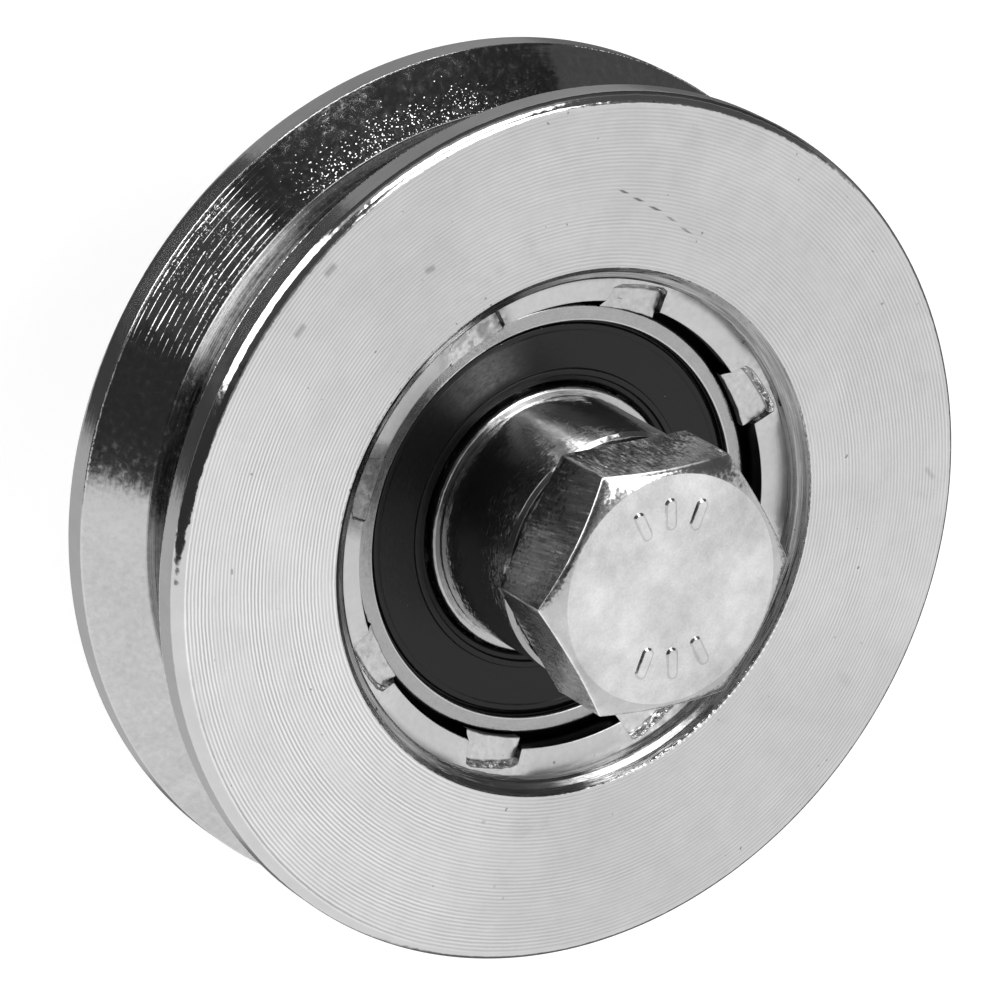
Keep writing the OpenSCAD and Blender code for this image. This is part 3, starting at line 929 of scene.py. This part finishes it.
class StakeSector:
    """One eighth of the staked lip: a grid of lines across a stake, each running over the lip's section."""

    # Numbers of points in the parts of the section, from the recess wall to the tip's underside
    OUTER, WALL, FLOOR, OVER, EDGE, TIP, UNDER = 9, 6, 8, 5, 5, 5, 4
    NOSE = 0.16 * MM
    LIP_EDGE = 0.14 * MM
    LIP_BENDS = 4
    # Depth of the tip's lower edge below the wheel's face, and the fall of its underside
    TIP_FOOT = 4.12 * MM
    UNDER_FALL = 0.6 * MM

    def __init__(self, wheel, stake):
        self.wheel = wheel
        self.stake = stake
        self.face = wheel.half_width

    def lip_height(self, r):
        wheel = self.wheel
        fall = (wheel.lip_outer - r) / (wheel.lip_outer - wheel.lip_inner)
        return self.face - wheel.recess_depth - wheel.lip_fall * fall

    def floor_height(self, r):
        stake = self.stake
        return self.face - stake.tip_drop + stake.slope * (r - stake.tip)

    def stake_section(self, side):
        """Section through the stake, from the recess wall inwards. side runs from -1 to 1."""
        wheel, stake = self.wheel, self.stake
        middle = (stake.near_reach + stake.far_reach) / 2
        end = middle - side * (stake.near_reach - stake.far_reach) / 2
        end -= 0.25 * MM * max(0.0, abs(side) - 0.8) / 0.2
        foot = end - stake.wall
        radii = [wheel.lip_outer + (end - wheel.lip_outer) * i / self.OUTER for i in range(self.OUTER)]
        points = [(r, self.lip_height(r)) for r in radii]
        top = self.lip_height(end)
        for i in range(self.WALL):
            part = i / (self.WALL - 1)
            bend = part * part * (3 - 2 * part)
            points.append((end - stake.wall * part, top + (self.floor_height(foot) - top) * bend))
        for i in range(1, self.FLOOR + 1):
            r = foot + (wheel.lip_inner - foot) * i / self.FLOOR
            points.append((r, self.floor_height(r)))
        nose = self.NOSE
        for i in range(1, self.OVER + 1):
            r = wheel.lip_inner + (stake.tip + nose - wheel.lip_inner) * i / self.OVER
            points.append((r, self.floor_height(r)))
        top = self.floor_height(stake.tip + nose) - nose
        for i in range(1, self.EDGE + 1):
            bend = math.pi / 2 * i / self.EDGE
            points.append((stake.tip + nose * (1 - math.sin(bend)), top + nose * math.cos(bend)))
        bottom = self.face - self.TIP_FOOT
        for i in range(1, self.TIP + 1):
            points.append((stake.tip, top + (bottom - top) * i / self.TIP))
        for i in range(1, self.UNDER + 1):
            part = i / self.UNDER
            r = stake.tip + (wheel.lip_inner - stake.tip) * part
            points.append((r, bottom - self.UNDER_FALL * part))
        return points

    def plain_section(self, side):
        """Section beside a stake, with as many points, over the same radii."""
        inner = self.wheel.lip_inner
        edge, bends = self.LIP_EDGE, self.LIP_BENDS
        wall_top = self.lip_height(inner + edge) - edge
        like = self.stake_section(side)
        on_lip = self.OUTER + self.WALL + self.FLOOR
        down = len(like) - on_lip
        radii = [max(r, inner + edge) for r, _ in like[:on_lip]]
        points = [(r, self.lip_height(r)) for r in radii]
        for i in range(1, bends + 1):
            bend = math.pi / 2 * i / bends
            points.append((inner + edge * (1 - math.sin(bend)), wall_top + edge * math.cos(bend)))
        for i in range(1, down - bends + 1):
            part = i / (down - bends)
            points.append((inner, wall_top + (like[-1][1] - wall_top) * part))
        return points

    def lines(self):
        """Places of the grid's lines: a stake's sides are at -1 and 1, the sector's ends at -2 and 2."""
        inside = np.linspace(-0.97, 0.97, 25)
        beside = [0.985, 0.992, 1.008, 1.015]
        outside = list(1.015 + (np.linspace(0, 1, 10)[1:] ** 1.3) * 0.985)
        half = beside + outside
        return [-p for p in reversed(half)] + list(inside) + half

    def mesh(self):
        wheel, stake = self.wheel, self.stake
        step = math.pi / stake.count
        bed = self.face - LIP_BED * MM
        foot = self.OUTER + self.WALL
        lines = self.lines()
        verts, worked, edges = [], [], []
        for line in lines:
            side = max(-1.0, min(1.0, line))
            staked = abs(line) < 1
            section = self.stake_section(side) if staked else self.plain_section(side)
            section = section + [(wheel.lip_inner, bed), (wheel.lip_outer, bed)]
            border = 1.0 if 0.98 < abs(line) < 1.01 else 0.0
            for i, (r, z) in enumerate(section):
                spread = (r - stake.tip) / (wheel.lip_outer - stake.tip)
                width = stake.width + (stake.outer_width - stake.width) * spread
                half = width / 2 / r
                beyond = max(0.0, abs(line) - 1)
                angle = math.copysign(min(abs(line), 1) * half + beyond * (step - half), line)
                verts.append((r * math.cos(angle), r * math.sin(angle), z))
                near = 1.0 if staked else max(0.0, 1 - beyond * 3)
                worked.append(near if r < wheel.lip_outer - 0.05 * MM and z > bed + 0.2 * MM else 0.0)
                # 1 along the stakes' edges and wall feet, where the finish paints shadow lines, and -1 on
                # the sheared walls
                if staked and self.OUTER < i < foot - 1:
                    edges.append(-1.0)
                elif staked and i in (self.OUTER, foot - 1):
                    edges.append(1.0)
                else:
                    edges.append(border if i >= self.OUTER else 0.0)
        mesh = bpy.data.meshes.new("sector")
        mesh.from_pydata(verts, [], grid_faces(len(lines), len(section)))
        for label, values in (("worked", worked), ("edge", edges)):
            mark = mesh.attributes.new(label, "FLOAT", "POINT")
            mark.data.foreach_set("value", values)
        return mesh


def around_tree():
    """Copies a piece evenly around the axle, joins the copies and roughens what has been worked."""
    tree, graph, given = new_tree(
        "copies round the axle",
        piece="Object",
        count="Int",
        first_angle="Float",
        roughness="Float",
        grain="Float",
        merge_distance="Float",
        material="Material",
    )
    source = graph.value("GeometryNodeObjectInfo", None, {0: given["piece"]}, "Geometry")
    points = graph.value("GeometryNodeMeshLine", None, {"Count": given["count"], "Offset": (0, 0, 0)})
    index = graph.value("GeometryNodeInputIndex")
    angle = index / given["count"] * (2 * math.pi) + given["first_angle"]
    spin = graph.value("FunctionNodeAxisAngleToRotation", None, {"Axis": (0, 0, 1), "Angle": angle})
    copies = graph.value(
        "GeometryNodeInstanceOnPoints", None, {"Points": points, "Instance": source, "Rotation": spin}
    )
    real = graph.value("GeometryNodeRealizeInstances", None, {"Geometry": copies})
    whole = graph.value(
        "GeometryNodeMergeByDistance", None, {"Geometry": real, "Distance": given["merge_distance"]}
    )
    place = graph.value("GeometryNodeInputPosition")
    worked = graph.value("GeometryNodeInputNamedAttribute", {"data_type": "FLOAT"}, {"Name": "worked"})
    shake = graph.noise_vector(place, given["grain"], 4.0)
    moved = graph.value(
        "GeometryNodeSetPosition",
        None,
        {"Geometry": whole, "Offset": shake * (worked * given["roughness"])},
    )
    close_tree(graph, moved, given["material"])
    return tree


def copied_around(name, piece, count, start, roughness, grain, material):
    """Makes one piece of a ring of copies, and removes the original."""
    tree = bpy.data.node_groups.get("copies round the axle") or around_tree()
    given = {
        "Piece": piece,
        "Count": count,
        "First angle": start,
        "Roughness": roughness,
        "Grain": grain,
        "Merge distance": MERGE,
        "Material": finish(material),
    }
    ring = grown(name, tree, given)
    removed(piece)
    return ring


class TurnWheel(bpy.types.Operator):
    """Turns the wheel with its rail groove, rounded corners and stepped recesses"""

    bl_idname = "wheel.turn_wheel"
    bl_label = "Turn the wheel"

    def execute(self, context):
        scene = context.scene
        outline = wheel_outline(scene.wheel_sizes, scene.bearing_sizes)
        turned("wheel_body", outline, "wheel", "turned_steel", "wheel_rim", 360)
        return {"FINISHED"}


class StakeLip(bpy.types.Operator):
    """Folds the lip over the bearing with a ring of punch marks"""

    bl_idname = "wheel.stake_lip"
    bl_label = "Stake the lip"

    def execute(self, context):
        scene = context.scene
        stake = scene.stake_sizes
        sector = linked("sector", StakeSector(scene.wheel_sizes, stake).mesh())
        lip = copied_around(
            "staked_lip", sector, stake.count, stake.start, stake.roughness, 900.0, "turned_steel"
        )
        dressed(shaded(lip, 35), "wheel", "turned_steel", "wheel_rim")
        return {"FINISHED"}


# ---------------------------------------------------------------- the bearing


def middle_of(bearing):
    """Height of the bearing's middle, in millimetres."""
    return (bearing.front + bearing.rear) / 2 / MM


def race_arc(bearing, outward):
    """The raceway's arc between the ring's two lands, from the rear land to the front one."""
    middle = middle_of(bearing)
    pitch = bearing.pitch / MM
    race = bearing.race / MM
    land = (bearing.race_land if outward else bearing.inner) / MM
    half = math.acos(abs(land - pitch) / race)
    sign = 1 if outward else -1
    angles = [half * (2 * i / 16 - 1) for i in range(17)]
    return [(pitch + sign * race * math.cos(a), middle + race * math.sin(a), 0.0) for a in angles]


def outer_ring_outline(bearing):
    front = bearing.front / MM
    radius = bearing.radius / MM
    land = bearing.land / MM
    sunk = bearing.seal_sunk / MM
    bottom = sunk + bearing.seal_thick / MM
    half = [
        (land + 0.35, front - bottom, 0.0),
        (land + 0.35, front - sunk - 0.35, 0.0),
        (land - 0.1, front - sunk - 0.1, 0.05),
        (land, front, 0.12),
        (radius, front, 0.42),
    ]
    return rounded(half + mirrored(half, middle_of(bearing)) + race_arc(bearing, True))


def inner_ring_outline(bearing):
    front = bearing.front / MM
    half = [(bearing.bore / MM, front, 0.4), (bearing.inner / MM, front, 0.3)]
    arc = race_arc(bearing, False)
    return rounded(half + arc[::-1] + mirrored(half, middle_of(bearing)))


def seal_outline(bearing):
    """A bead in the outer ring, a flat face, a raised ring and a thin inner lip."""
    top = (bearing.front - bearing.seal_sunk) / MM
    bottom = top - bearing.seal_thick / MM
    groove = bearing.land / MM + 0.33
    rim = bearing.seal_outer / MM
    lip = bearing.seal_lip / MM
    return rounded(
        [
            (groove, bottom, 0.0),
            (groove, top - 0.42, 0.08),
            (rim + 0.12, top - 0.3, 0.05),
            (rim, top, 0.12),
            (rim - 0.45, top, 0.05),
            (rim - 0.6, top - 0.07, 0.05),
            (13.9, top - 0.05, 0.05),
            (13.8, top + 0.16, 0.07),
            (13.3, top + 0.18, 0.07),
            (13.18, top - 0.1, 0.05),
            (lip + 0.2, top - 0.12, 0.1),
            (lip, top - 0.35, 0.08),
            (lip, bottom, 0.05),
        ]
    )


class GrindRings(bpy.types.Operator):
    """Grinds the bearing's outer and inner ring"""

    bl_idname = "wheel.grind_rings"
    bl_label = "Grind the bearing's rings"

    def execute(self, context):
        bearing = context.scene.bearing_sizes
        outer = outer_ring_outline(bearing)
        turned("outer_ring", outer, "wheel", "bearing_steel", "bearing_outer_ring")
        inner = inner_ring_outline(bearing)
        turned("inner_ring", inner, "axle", "bearing_steel", "bearing_inner_ring")
        return {"FINISHED"}


class MouldSeals(bpy.types.Operator):
    """Moulds the two rubber seals"""

    bl_idname = "wheel.mould_seals"
    bl_label = "Mould the seals"

    def execute(self, context):
        bearing = context.scene.bearing_sizes
        front = seal_outline(bearing)
        turned("rubber_seal_front", front, "wheel", "seal_rubber", "seal_front")
        rear = mirrored(front, middle_of(bearing))
        turned("rubber_seal_rear", rear, "wheel", "seal_rubber", "seal_rear")
        return {"FINISHED"}


class FinishBalls(bpy.types.Operator):
    """Polishes the balls and finishes the cage and its rivets, which keep their CAD shapes"""

    bl_idname = "wheel.finish_balls"
    bl_label = "Finish the balls and cage"

    def execute(self, context):
        for name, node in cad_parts.items():
            slot = "ball_steel" if name.startswith("ball_") else "cage_steel"
            if name.startswith(("ball_", "cage_")):
                node.data.materials.clear()
                node.data.materials.append(finish(slot))
        return {"FINISHED"}


# ---------------------------------------------------------------- bushes, bolt, washer and nut


def bush_outline(axle, ring_face, spigot_end):
    """Half section of a bush that stands on the bearing's inner ring, its spigot in the bore."""
    collar = axle.bush / MM
    bore = axle.shank / MM + 0.1
    seat = axle.bush_front / MM
    spigot = axle.spigot / MM
    return rounded(
        [
            (bore, spigot_end, 0.0),
            (spigot - 0.35, spigot_end, 0.05),
            (spigot, spigot_end + 0.35, 0.05),
            (spigot, ring_face, 0.0),
            (collar - 0.15, ring_face, 0.03),
            (collar, ring_face + 0.2, 0.08),
            (collar, seat - 0.35, 0.06),
            (collar - 0.35, seat, 0.06),
            (bore, seat, 0.1),
        ]
    )


class TurnBushes(bpy.types.Operator):
    """Turns the two spacer bushes"""

    bl_idname = "wheel.turn_bushes"
    bl_label = "Turn the bushes"

    def execute(self, context):
        axle = context.scene.axle_sizes
        bearing = context.scene.bearing_sizes
        front = bush_outline(axle, bearing.front / MM, axle.spigot_end / MM)
        turned("bush_front", front, "axle", "bush_steel", "front_bush")
        rear_end = -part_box("rear_bush")[1].z / MM
        rear = mirrored(bush_outline(axle, -bearing.rear / MM, rear_end))
        turned("bush_rear", rear, "axle", "bush_steel", "rear_bush")
        return {"FINISHED"}


def hexagon_columns(axle):
    """Angles and radii of points round a hexagon with slightly rounded corners."""
    corner = 0.35 * MM
    from_corner = [0, 0.5, 1.0, 1.4, 1.8, 2.6, 4, 6, 9, 12, 15, 18, 21, 24, 27]
    offsets = sorted({-a for a in from_corner} | set(from_corner) | {-30})
    middle = (axle.flats - corner) / math.cos(math.radians(30))
    angles, radii = [], []
    for k in range(6):
        for offset in offsets:
            lean = math.radians(offset)
            flat = axle.flats / math.cos(math.radians(30) - abs(lean))
            inside = corner**2 - (middle * math.sin(lean)) ** 2
            tip = middle * math.cos(lean) + math.sqrt(inside) if inside > 0 else flat
            touches = abs(middle * math.sin(lean)) < corner * math.sin(math.radians(30))
            angles.append(axle.turned + math.radians(60 * k) + lean)
            radii.append(tip if touches else flat)
    return np.array(angles), np.array(radii)


def hexagon_shell(name, axle, rows, closed):
    """A shell over a hexagon: each row gives the radii and heights of one line round it."""
    angles, reach_out = hexagon_columns(axle)
    verts = []
    for row in rows:
        radii, heights = row(reach_out)
        heights = np.broadcast_to(heights, angles.shape)
        verts.extend(zip(radii * np.cos(angles), radii * np.sin(angles), heights))
    mesh = bpy.data.meshes.new(name)
    faces = grid_faces(len(rows), len(angles), closed)
    mesh.from_pydata([tuple(map(float, v)) for v in verts], [], faces)
    shell = bmesh.new()
    shell.from_mesh(mesh)
    bmesh.ops.remove_doubles(shell, verts=shell.verts, dist=MERGE / 2)
    bmesh.ops.recalc_face_normals(shell, faces=shell.faces)
    shell.to_mesh(mesh)
    shell.free()
    return linked(name, mesh)


def circle_row(radius, height):
    return lambda reach_out: (radius, height)


def side_row(height, inset=0.0):
    return lambda reach_out: (reach_out - inset, height)


def bevel_row(axle, edge_height, sense, inset=0.0, drop=0.0):
    """A line where the bevel meets the flats, or just beside that line."""
    circle = axle.flats * axle.bevel_share
    slope = math.tan(axle.bevel)
    return lambda reach_out: (
        reach_out - inset,
        edge_height - sense * (np.maximum(reach_out - circle, 0) * slope + drop),
    )


def head_rows(axle):
    """Rows of the bolt's head, from the middle of its underside to the middle of its top."""
    seat = axle.bush_front
    top = axle.head_top - axle.mark
    circle = axle.flats * axle.bevel_share
    under = seat + axle.washer_face
    soft = SOFT_EDGE
    slope = math.tan(axle.bevel)
    washer = axle.flats - 0.7 * MM
    rows = [
        circle_row(0.0, seat),
        circle_row(washer - soft, seat),
        circle_row(washer, seat + soft),
        circle_row(washer, under - soft),
        circle_row(washer + soft, under),
        side_row(under, 2 * soft),
        side_row(under + 2 * soft, 0.0),
    ]
    rows.extend(side_row(under + (i + 1) * 1.1 * MM) for i in range(4))
    rows.append(bevel_row(axle, top, 1, 0.0, 1.6 * soft))
    rows.append(bevel_row(axle, top, 1, 0.3 * soft, 0.6 * soft))
    rows.append(bevel_row(axle, top, 1, 1.3 * soft, -slope * 0.7 * soft))
    rows.append(
        lambda reach_out: (
            (reach_out - 1.3 * soft + circle) / 2,
            top - (reach_out - 1.3 * soft - circle) / 2 * slope,
        )
    )
    rows.append(circle_row(circle, top - 0.25 * soft))
    rows.append(circle_row(circle - 0.8 * soft, top))
    rows.extend(circle_row(circle * part, top) for part in (0.9, 0.7, 0.5, 0.3, 0.1, 0.0))
    return rows


def nut_rows(axle, bottom, top):
    """Rows of the nut, round its section."""
    circle = axle.flats * axle.bevel_share
    bore = axle.shank + 0.03 * MM
    mouth = axle.shank + 0.75 * MM
    soft = SOFT_EDGE
    rows = [
        circle_row(bore, bottom + 0.7 * MM),
        circle_row(mouth, bottom),
        circle_row(circle - soft, bottom),
    ]
    rows.append(circle_row(circle, bottom + 0.3 * soft))
    rows.append(bevel_row(axle, bottom, -1, 1.3 * soft, -0.3 * soft))
    rows.append(bevel_row(axle, bottom, -1, 0.0, 1.4 * soft))
    rows.extend(side_row(bottom + (top - bottom) * part) for part in (0.35, 0.5, 0.65))
    rows.append(bevel_row(axle, top, 1, 0.0, 1.4 * soft))
    rows.append(bevel_row(axle, top, 1, 1.3 * soft, -0.3 * soft))
    rows.append(circle_row(circle, top - 0.3 * soft))
    rows.extend([circle_row(circle - soft, top), circle_row(mouth, top), circle_row(bore, top - 0.7 * MM)])
    return rows


def thread_tree():
    """A round bar with a helical thread and a chamfered end."""
    tree, graph, given = new_tree(
        "threaded shank",
        radius="Float",
        depth="Float",
        pitch="Float",
        end_height="Float",
        thread_top="Float",
        top_height="Float",
        chamfer="Float",
        rows="Int",
        material="Material",
    )
    segments = 96
    grid = graph.value(
        "GeometryNodeMeshGrid",
        None,
        {"Size X": 1.0, "Size Y": 1.0, "Vertices X": given["rows"], "Vertices Y": segments + 1},
    )
    place = graph.value("GeometryNodeInputPosition")
    x, y, _ = graph.split(place)
    row = graph.sum("ROUND", (x + 0.5) * (given["rows"] - 1))
    turned = y + 0.5
    inner = graph.clamp(row - 1, 0.0, given["rows"] - 3)
    part = inner / (given["rows"] - 3)
    height = given["end_height"] + (given["top_height"] - given["end_height"]) * part
    phase = graph.sum("FRACT", height / given["pitch"] - turned + 40)
    valley = 1 - graph.sum("ABSOLUTE", phase * 2 - 1)
    cut = graph.ramp(valley, 0.08, 0.92)
    shallow = graph.ramp(height, given["thread_top"] - given["pitch"], given["thread_top"], 1.0, 0.0)
    threaded = given["radius"] - cut * given["depth"] * shallow
    cone = given["radius"] - given["chamfer"] + (height - given["end_height"])
    open_row = graph.sum("COMPARE", row, 0.0, 0.5)
    last_row = graph.sum("COMPARE", row, given["rows"] - 1, 0.5)
    radius = graph.sum("MINIMUM", threaded, cone) * (1 - open_row) * (1 - last_row)
    angle = turned * (2 * math.pi)
    spot = graph.join(radius * graph.sum("COSINE", angle), radius * graph.sum("SINE", angle), height)
    bent = graph.value("GeometryNodeSetPosition", None, {"Geometry": grid, "Position": spot})
    whole = graph.value("GeometryNodeMergeByDistance", None, {"Geometry": bent, "Distance": MERGE})
    close_tree(graph, whole, given["material"])
    return tree


def dash_mesh(axle, start, end, half, turns):
    """Low raised bars with sloping sides on the head's top, one at each angle, pointing at the axle."""
    count = 20
    centre = (start + end) / 2
    layers = ((1.0, -0.1 * MM), (1.0, 0.0), (0.74, axle.mark * 0.75), (0.42, axle.mark))
    verts, faces = [], []
    for degrees in turns:
        first = len(verts)
        spin = Matrix.Rotation(math.radians(degrees), 3, "Z")
        for grow, lift in layers:
            shorter = 1 - half * (1 - grow) / ((end - start) / 2)
            for i in range(count):
                angle = 2 * math.pi * (i + 0.5) / count
                middle = end - half if math.cos(angle) > 0 else start + half
                along = centre + (middle + half * math.cos(angle) - centre) * shorter
                height = axle.head_top - axle.mark + lift
                verts.append(tuple(spin @ Vector((along, half * math.sin(angle) * grow, height))))
        faces.extend(tuple(first + i for i in face) for face in grid_faces(len(layers), count))
        faces.append(tuple(reversed(range(first, first + count))))
        faces.append(tuple(range(len(verts) - count, len(verts))))
    mesh = bpy.data.meshes.new("dash")
    mesh.from_pydata(verts, [], faces)
    mark = mesh.attributes.new("worked", "FLOAT", "POINT")
    mark.data.foreach_set("value", [0.7] * len(verts))
    return mesh


def joined(name, parts):
    """Joins finished meshes into one piece."""
    whole = bmesh.new()
    for part in parts:
        whole.from_mesh(part.data)
    mesh = bpy.data.meshes.new(name)
    whole.to_mesh(mesh)
    whole.free()
    for part in parts:
        removed(part)
    return linked(name, mesh)


class ForgeBolt(bpy.types.Operator):
    """Forges the bolt's head with its bevel and dashes, and rolls its thread"""

    bl_idname = "wheel.forge_bolt"
    bl_label = "Forge the bolt"

    def execute(self, context):
        axle = context.scene.axle_sizes
        head = hexagon_shell("head", axle, head_rows(axle), False)
        rows_per_pitch = 18
        top = axle.bush_front + axle.washer_face / 2
        rows = int((top - axle.bolt_end) / axle.pitch * rows_per_pitch) + 3
        given = {
            "Radius": axle.shank,
            "Depth": axle.thread,
            "Pitch": axle.pitch,
            "End height": axle.bolt_end,
            "Thread top": THREAD_TOP,
            "Top height": top,
            "Chamfer": END_CHAMFER,
            "Rows": rows,
            "Material": finish("zinc_steel"),
        }
        shank = grown("shank", thread_tree(), given)
        dash = dash_mesh(axle, start=5.4 * MM, end=8.4 * MM, half=0.62 * MM, turns=(-24, 0, 24))
        dashes = copied_around(
            "dashes", linked("dash", dash), 2, math.radians(217), 0.03 * MM, 1400.0, "zinc_steel"
        )
        bolt = shaded(joined("bolt", [head, shank, dashes]))
        dressed(bolt, "axle", "zinc_steel", "hex_bolt")
        return {"FINISHED"}


class FitWasherNut(bpy.types.Operator):
    """Fits the washer and the nut on the bolt's thread"""

    bl_idname = "wheel.fit_washer_nut"
    bl_label = "Fit the washer and nut"

    def execute(self, context):
        axle = context.scene.axle_sizes
        bottom = low("washer") / MM
        top = high("washer") / MM
        bore = axle.shank / MM + 0.5
        radius = axle.washer / MM
        outline = rounded(
            [(bore, bottom, 0.15), (bore, top, 0.15), (radius, top, 0.35), (radius, bottom, 0.2)]
        )
        turned("flat_washer", outline, "axle", "zinc_steel", "washer")
        rows = nut_rows(axle, low("hex_nut"), high("hex_nut"))
        nut = shaded(hexagon_shell("nut", axle, rows, True))
        dressed(nut, "axle", "zinc_steel", "hex_nut")
        return {"FINISHED"}


# ---------------------------------------------------------------- camera, floor and light

# Cards and lamps round the wheel, as directions from it: azimuth and half width, elevation and
# half height, softness, all in degrees, and the level of light. Later ones lie over earlier ones.
CARDS = (
    (160, 66, -75, 24, 4, 0.3),
    (92, 45, -38, 34, 6, 0.14),
    (272, 46, -78, 32.5, 3, 0.045),
    (5, 52, -78, 30, 4, 0.5),
    (255, 62, 76, 9, 4, 0.24),
    (163, 28, 22, 24, 4, 0.09),
    (163, 28, -25, 24, 8, 0.042),
    (216, 26, 2, 18, 5, 0.36),
    (216, 26, -34, 18, 6, 0.08),
    (253, 31, 42, 28, 5, 0.07),
    (298, 20, 12, 57, 2, 0.035),
    (261.5, 17.5, -16, 31, 3, 3.5),
    (211, 21, 24, 12, 2.5, 5.0),
    (189, 24, 57, 10, 2.5, 5.0),
    (25, 18, 70, 10, 8, 1.05),
    (133, 9, 60, 10, 6, 1.07),
    (62, 8, 55, 8, 5, 0.65),
    (155, 11, 47, 8, 4, 0.11),
)


def studio_world(stage):
    """White to the camera, and plain walls with soft lamps and dark cards to the wheel."""
    world = bpy.data.worlds.new("studio")
    world.use_nodes = True
    world.node_tree.nodes.clear()
    graph = Graph(world.node_tree)
    way = graph.value("ShaderNodeTexCoord", output="Generated")
    x, y, z = graph.split(graph.vector("NORMALIZE", way))
    azimuth = graph.sum("ARCTAN2", y, x) * (180 / math.pi)
    elevation = graph.sum("ARCSINE", z) * (180 / math.pi)
    level = stage.surroundings
    for centre, half_width, middle, half_height, soft, light in CARDS:
        aside = graph.sum("ABSOLUTE", graph.sum("WRAP", azimuth - centre, 180.0, -180.0))
        above = graph.sum("ABSOLUTE", elevation - middle)
        card = graph.within(aside, half_width, soft) * graph.within(above, half_height, soft)
        level = graph.mix(card, level, light)
    seen = graph.value("ShaderNodeLightPath", output="Is Camera Ray")
    strength = graph.mix(seen, level, 1.0)
    light = graph.node("ShaderNodeBackground", None, {"Color": (1, 1, 1, 1), "Strength": strength})
    graph.node("ShaderNodeOutputWorld", None, {"Surface": Value(graph, light.outputs[0])})
    return world


def pale_floor(context):
    """A floor that is white to the camera, apart from the object's soft shadow."""
    stage = context.scene.wheel_stage
    size = stage.floor
    height = CAD_BOX[0].z - FLOOR_GAP
    corners = [(-size, -size, height), (size, -size, height), (size, size, height), (-size, size, height)]
    mesh = bpy.data.meshes.new("floor")
    mesh.from_pydata(corners, [], [(0, 1, 2, 3)])
    floor = linked("floor", mesh)
    material = bpy.data.materials.new("floor")
    material.use_nodes = True
    material.node_tree.nodes.clear()
    graph = Graph(material.node_tree)
    colour = (*context.scene.wheel_finishes.floor, 1.0)
    matt = graph.value("ShaderNodeBsdfDiffuse", None, {"Color": colour})
    seen = graph.value("ShaderNodeLightPath", output="Is Camera Ray")
    glow = graph.value("ShaderNodeEmission", None, {"Color": (1, 1, 1, 1), "Strength": seen * FLOOR_GLOW})
    both = graph.value("ShaderNodeAddShader", None, {0: matt, 1: glow})
    graph.node("ShaderNodeOutputMaterial", None, {"Surface": both})
    mesh.materials.append(material)
    floor.visible_glossy = False
    floor.visible_shadow = False


def black_flag(context):
    """A flat black card beside the groove, that shows in glossy reflections only."""
    level = context.scene.wheel_sizes.groove_mouth / 2 - 0.2 * MM
    verts = []
    for degrees in FLAG_ANGLES:
        turned = math.radians(degrees)
        outside = FLAG_OUTSIDE if degrees < FLAG_NARROW_FROM else FLAG_NARROW
        for r in (FLAG_INSIDE, outside):
            verts.append((r * MM * math.cos(turned), r * MM * math.sin(turned), level))
    faces = [(i, i + 1, i + 3, i + 2) for i in range(0, len(verts) - 2, 2)]
    mesh = bpy.data.meshes.new("flag")
    mesh.from_pydata(verts, [], faces)
    black = {"Base Color": (0.02, 0.02, 0.02, 1), "Roughness": 0.8}
    mesh.materials.append(new_material("black_card", lambda graph: black))
    flag = linked("flag", mesh)
    flag.visible_camera = False
    flag.visible_diffuse = False
    flag.visible_shadow = False
    flag.visible_transmission = False


class SetStage(bpy.types.Operator):
    """Sets the camera, the pale floor and the studio round the wheel"""

    bl_idname = "wheel.set_stage"
    bl_label = "Set the stage"

    def execute(self, context):
        scene = context.scene
        stage = scene.wheel_stage
        camera = bpy.data.objects.new("camera", bpy.data.cameras.new("camera"))
        scene.collection.objects.link(camera)
        lean = Matrix.Rotation(math.pi / 2 - stage.elevation, 3, "X")
        facing = lean @ Matrix.Rotation(stage.roll, 3, "Z")
        aim = Vector((stage.aim_x, stage.aim_y, scene.wheel_sizes.half_width))
        camera.location = aim + lean @ Vector((0, 0, stage.distance))
        camera.rotation_euler = facing.to_euler()
        camera.data.lens = stage.lens
        camera.data.sensor_width = 36
        camera.data.clip_start = 0.01
        scene.camera = camera
        scene.world = studio_world(stage)
        scene.view_settings.view_transform = "Standard"
        pale_floor(context)
        black_flag(context)
        return {"FINISHED"}


class WheelPanel(bpy.types.Panel):
    """Lists the wheel's sizes, finishes and steps"""

    bl_idname = "VIEW3D_PT_wheel"
    bl_label = "V groove wheel"
    bl_space_type = "VIEW_3D"
    bl_region_type = "UI"
    bl_category = "Wheel"

    def draw(self, context):
        for step in STEPS:
            self.layout.operator(step.bl_idname)
        for name, group in GROUPS.items():
            box = self.layout.box()
            box.label(text=group.__doc__)
            for label in group.__annotations__:
                box.prop(getattr(context.scene, name), label)


STEPS = (
    SetStage,
    TurnWheel,
    StakeLip,
    GrindRings,
    MouldSeals,
    FinishBalls,
    TurnBushes,
    ForgeBolt,
    FitWasherNut,
)


def register():
    for group in (*GROUPS.values(), *STEPS, WheelPanel):
        bpy.utils.register_class(group)
    for name, group in GROUPS.items():
        setattr(bpy.types.Scene, name, PointerProperty(type=group))


def unregister():
    for name in GROUPS:
        delattr(bpy.types.Scene, name)
    for group in reversed((*GROUPS.values(), *STEPS, WheelPanel)):
        bpy.utils.unregister_class(group)


def main():
    register()
    for step in STEPS:
        getattr(bpy.ops.wheel, step.bl_idname.split(".")[1])()


if __name__ == "__main__":
    main()
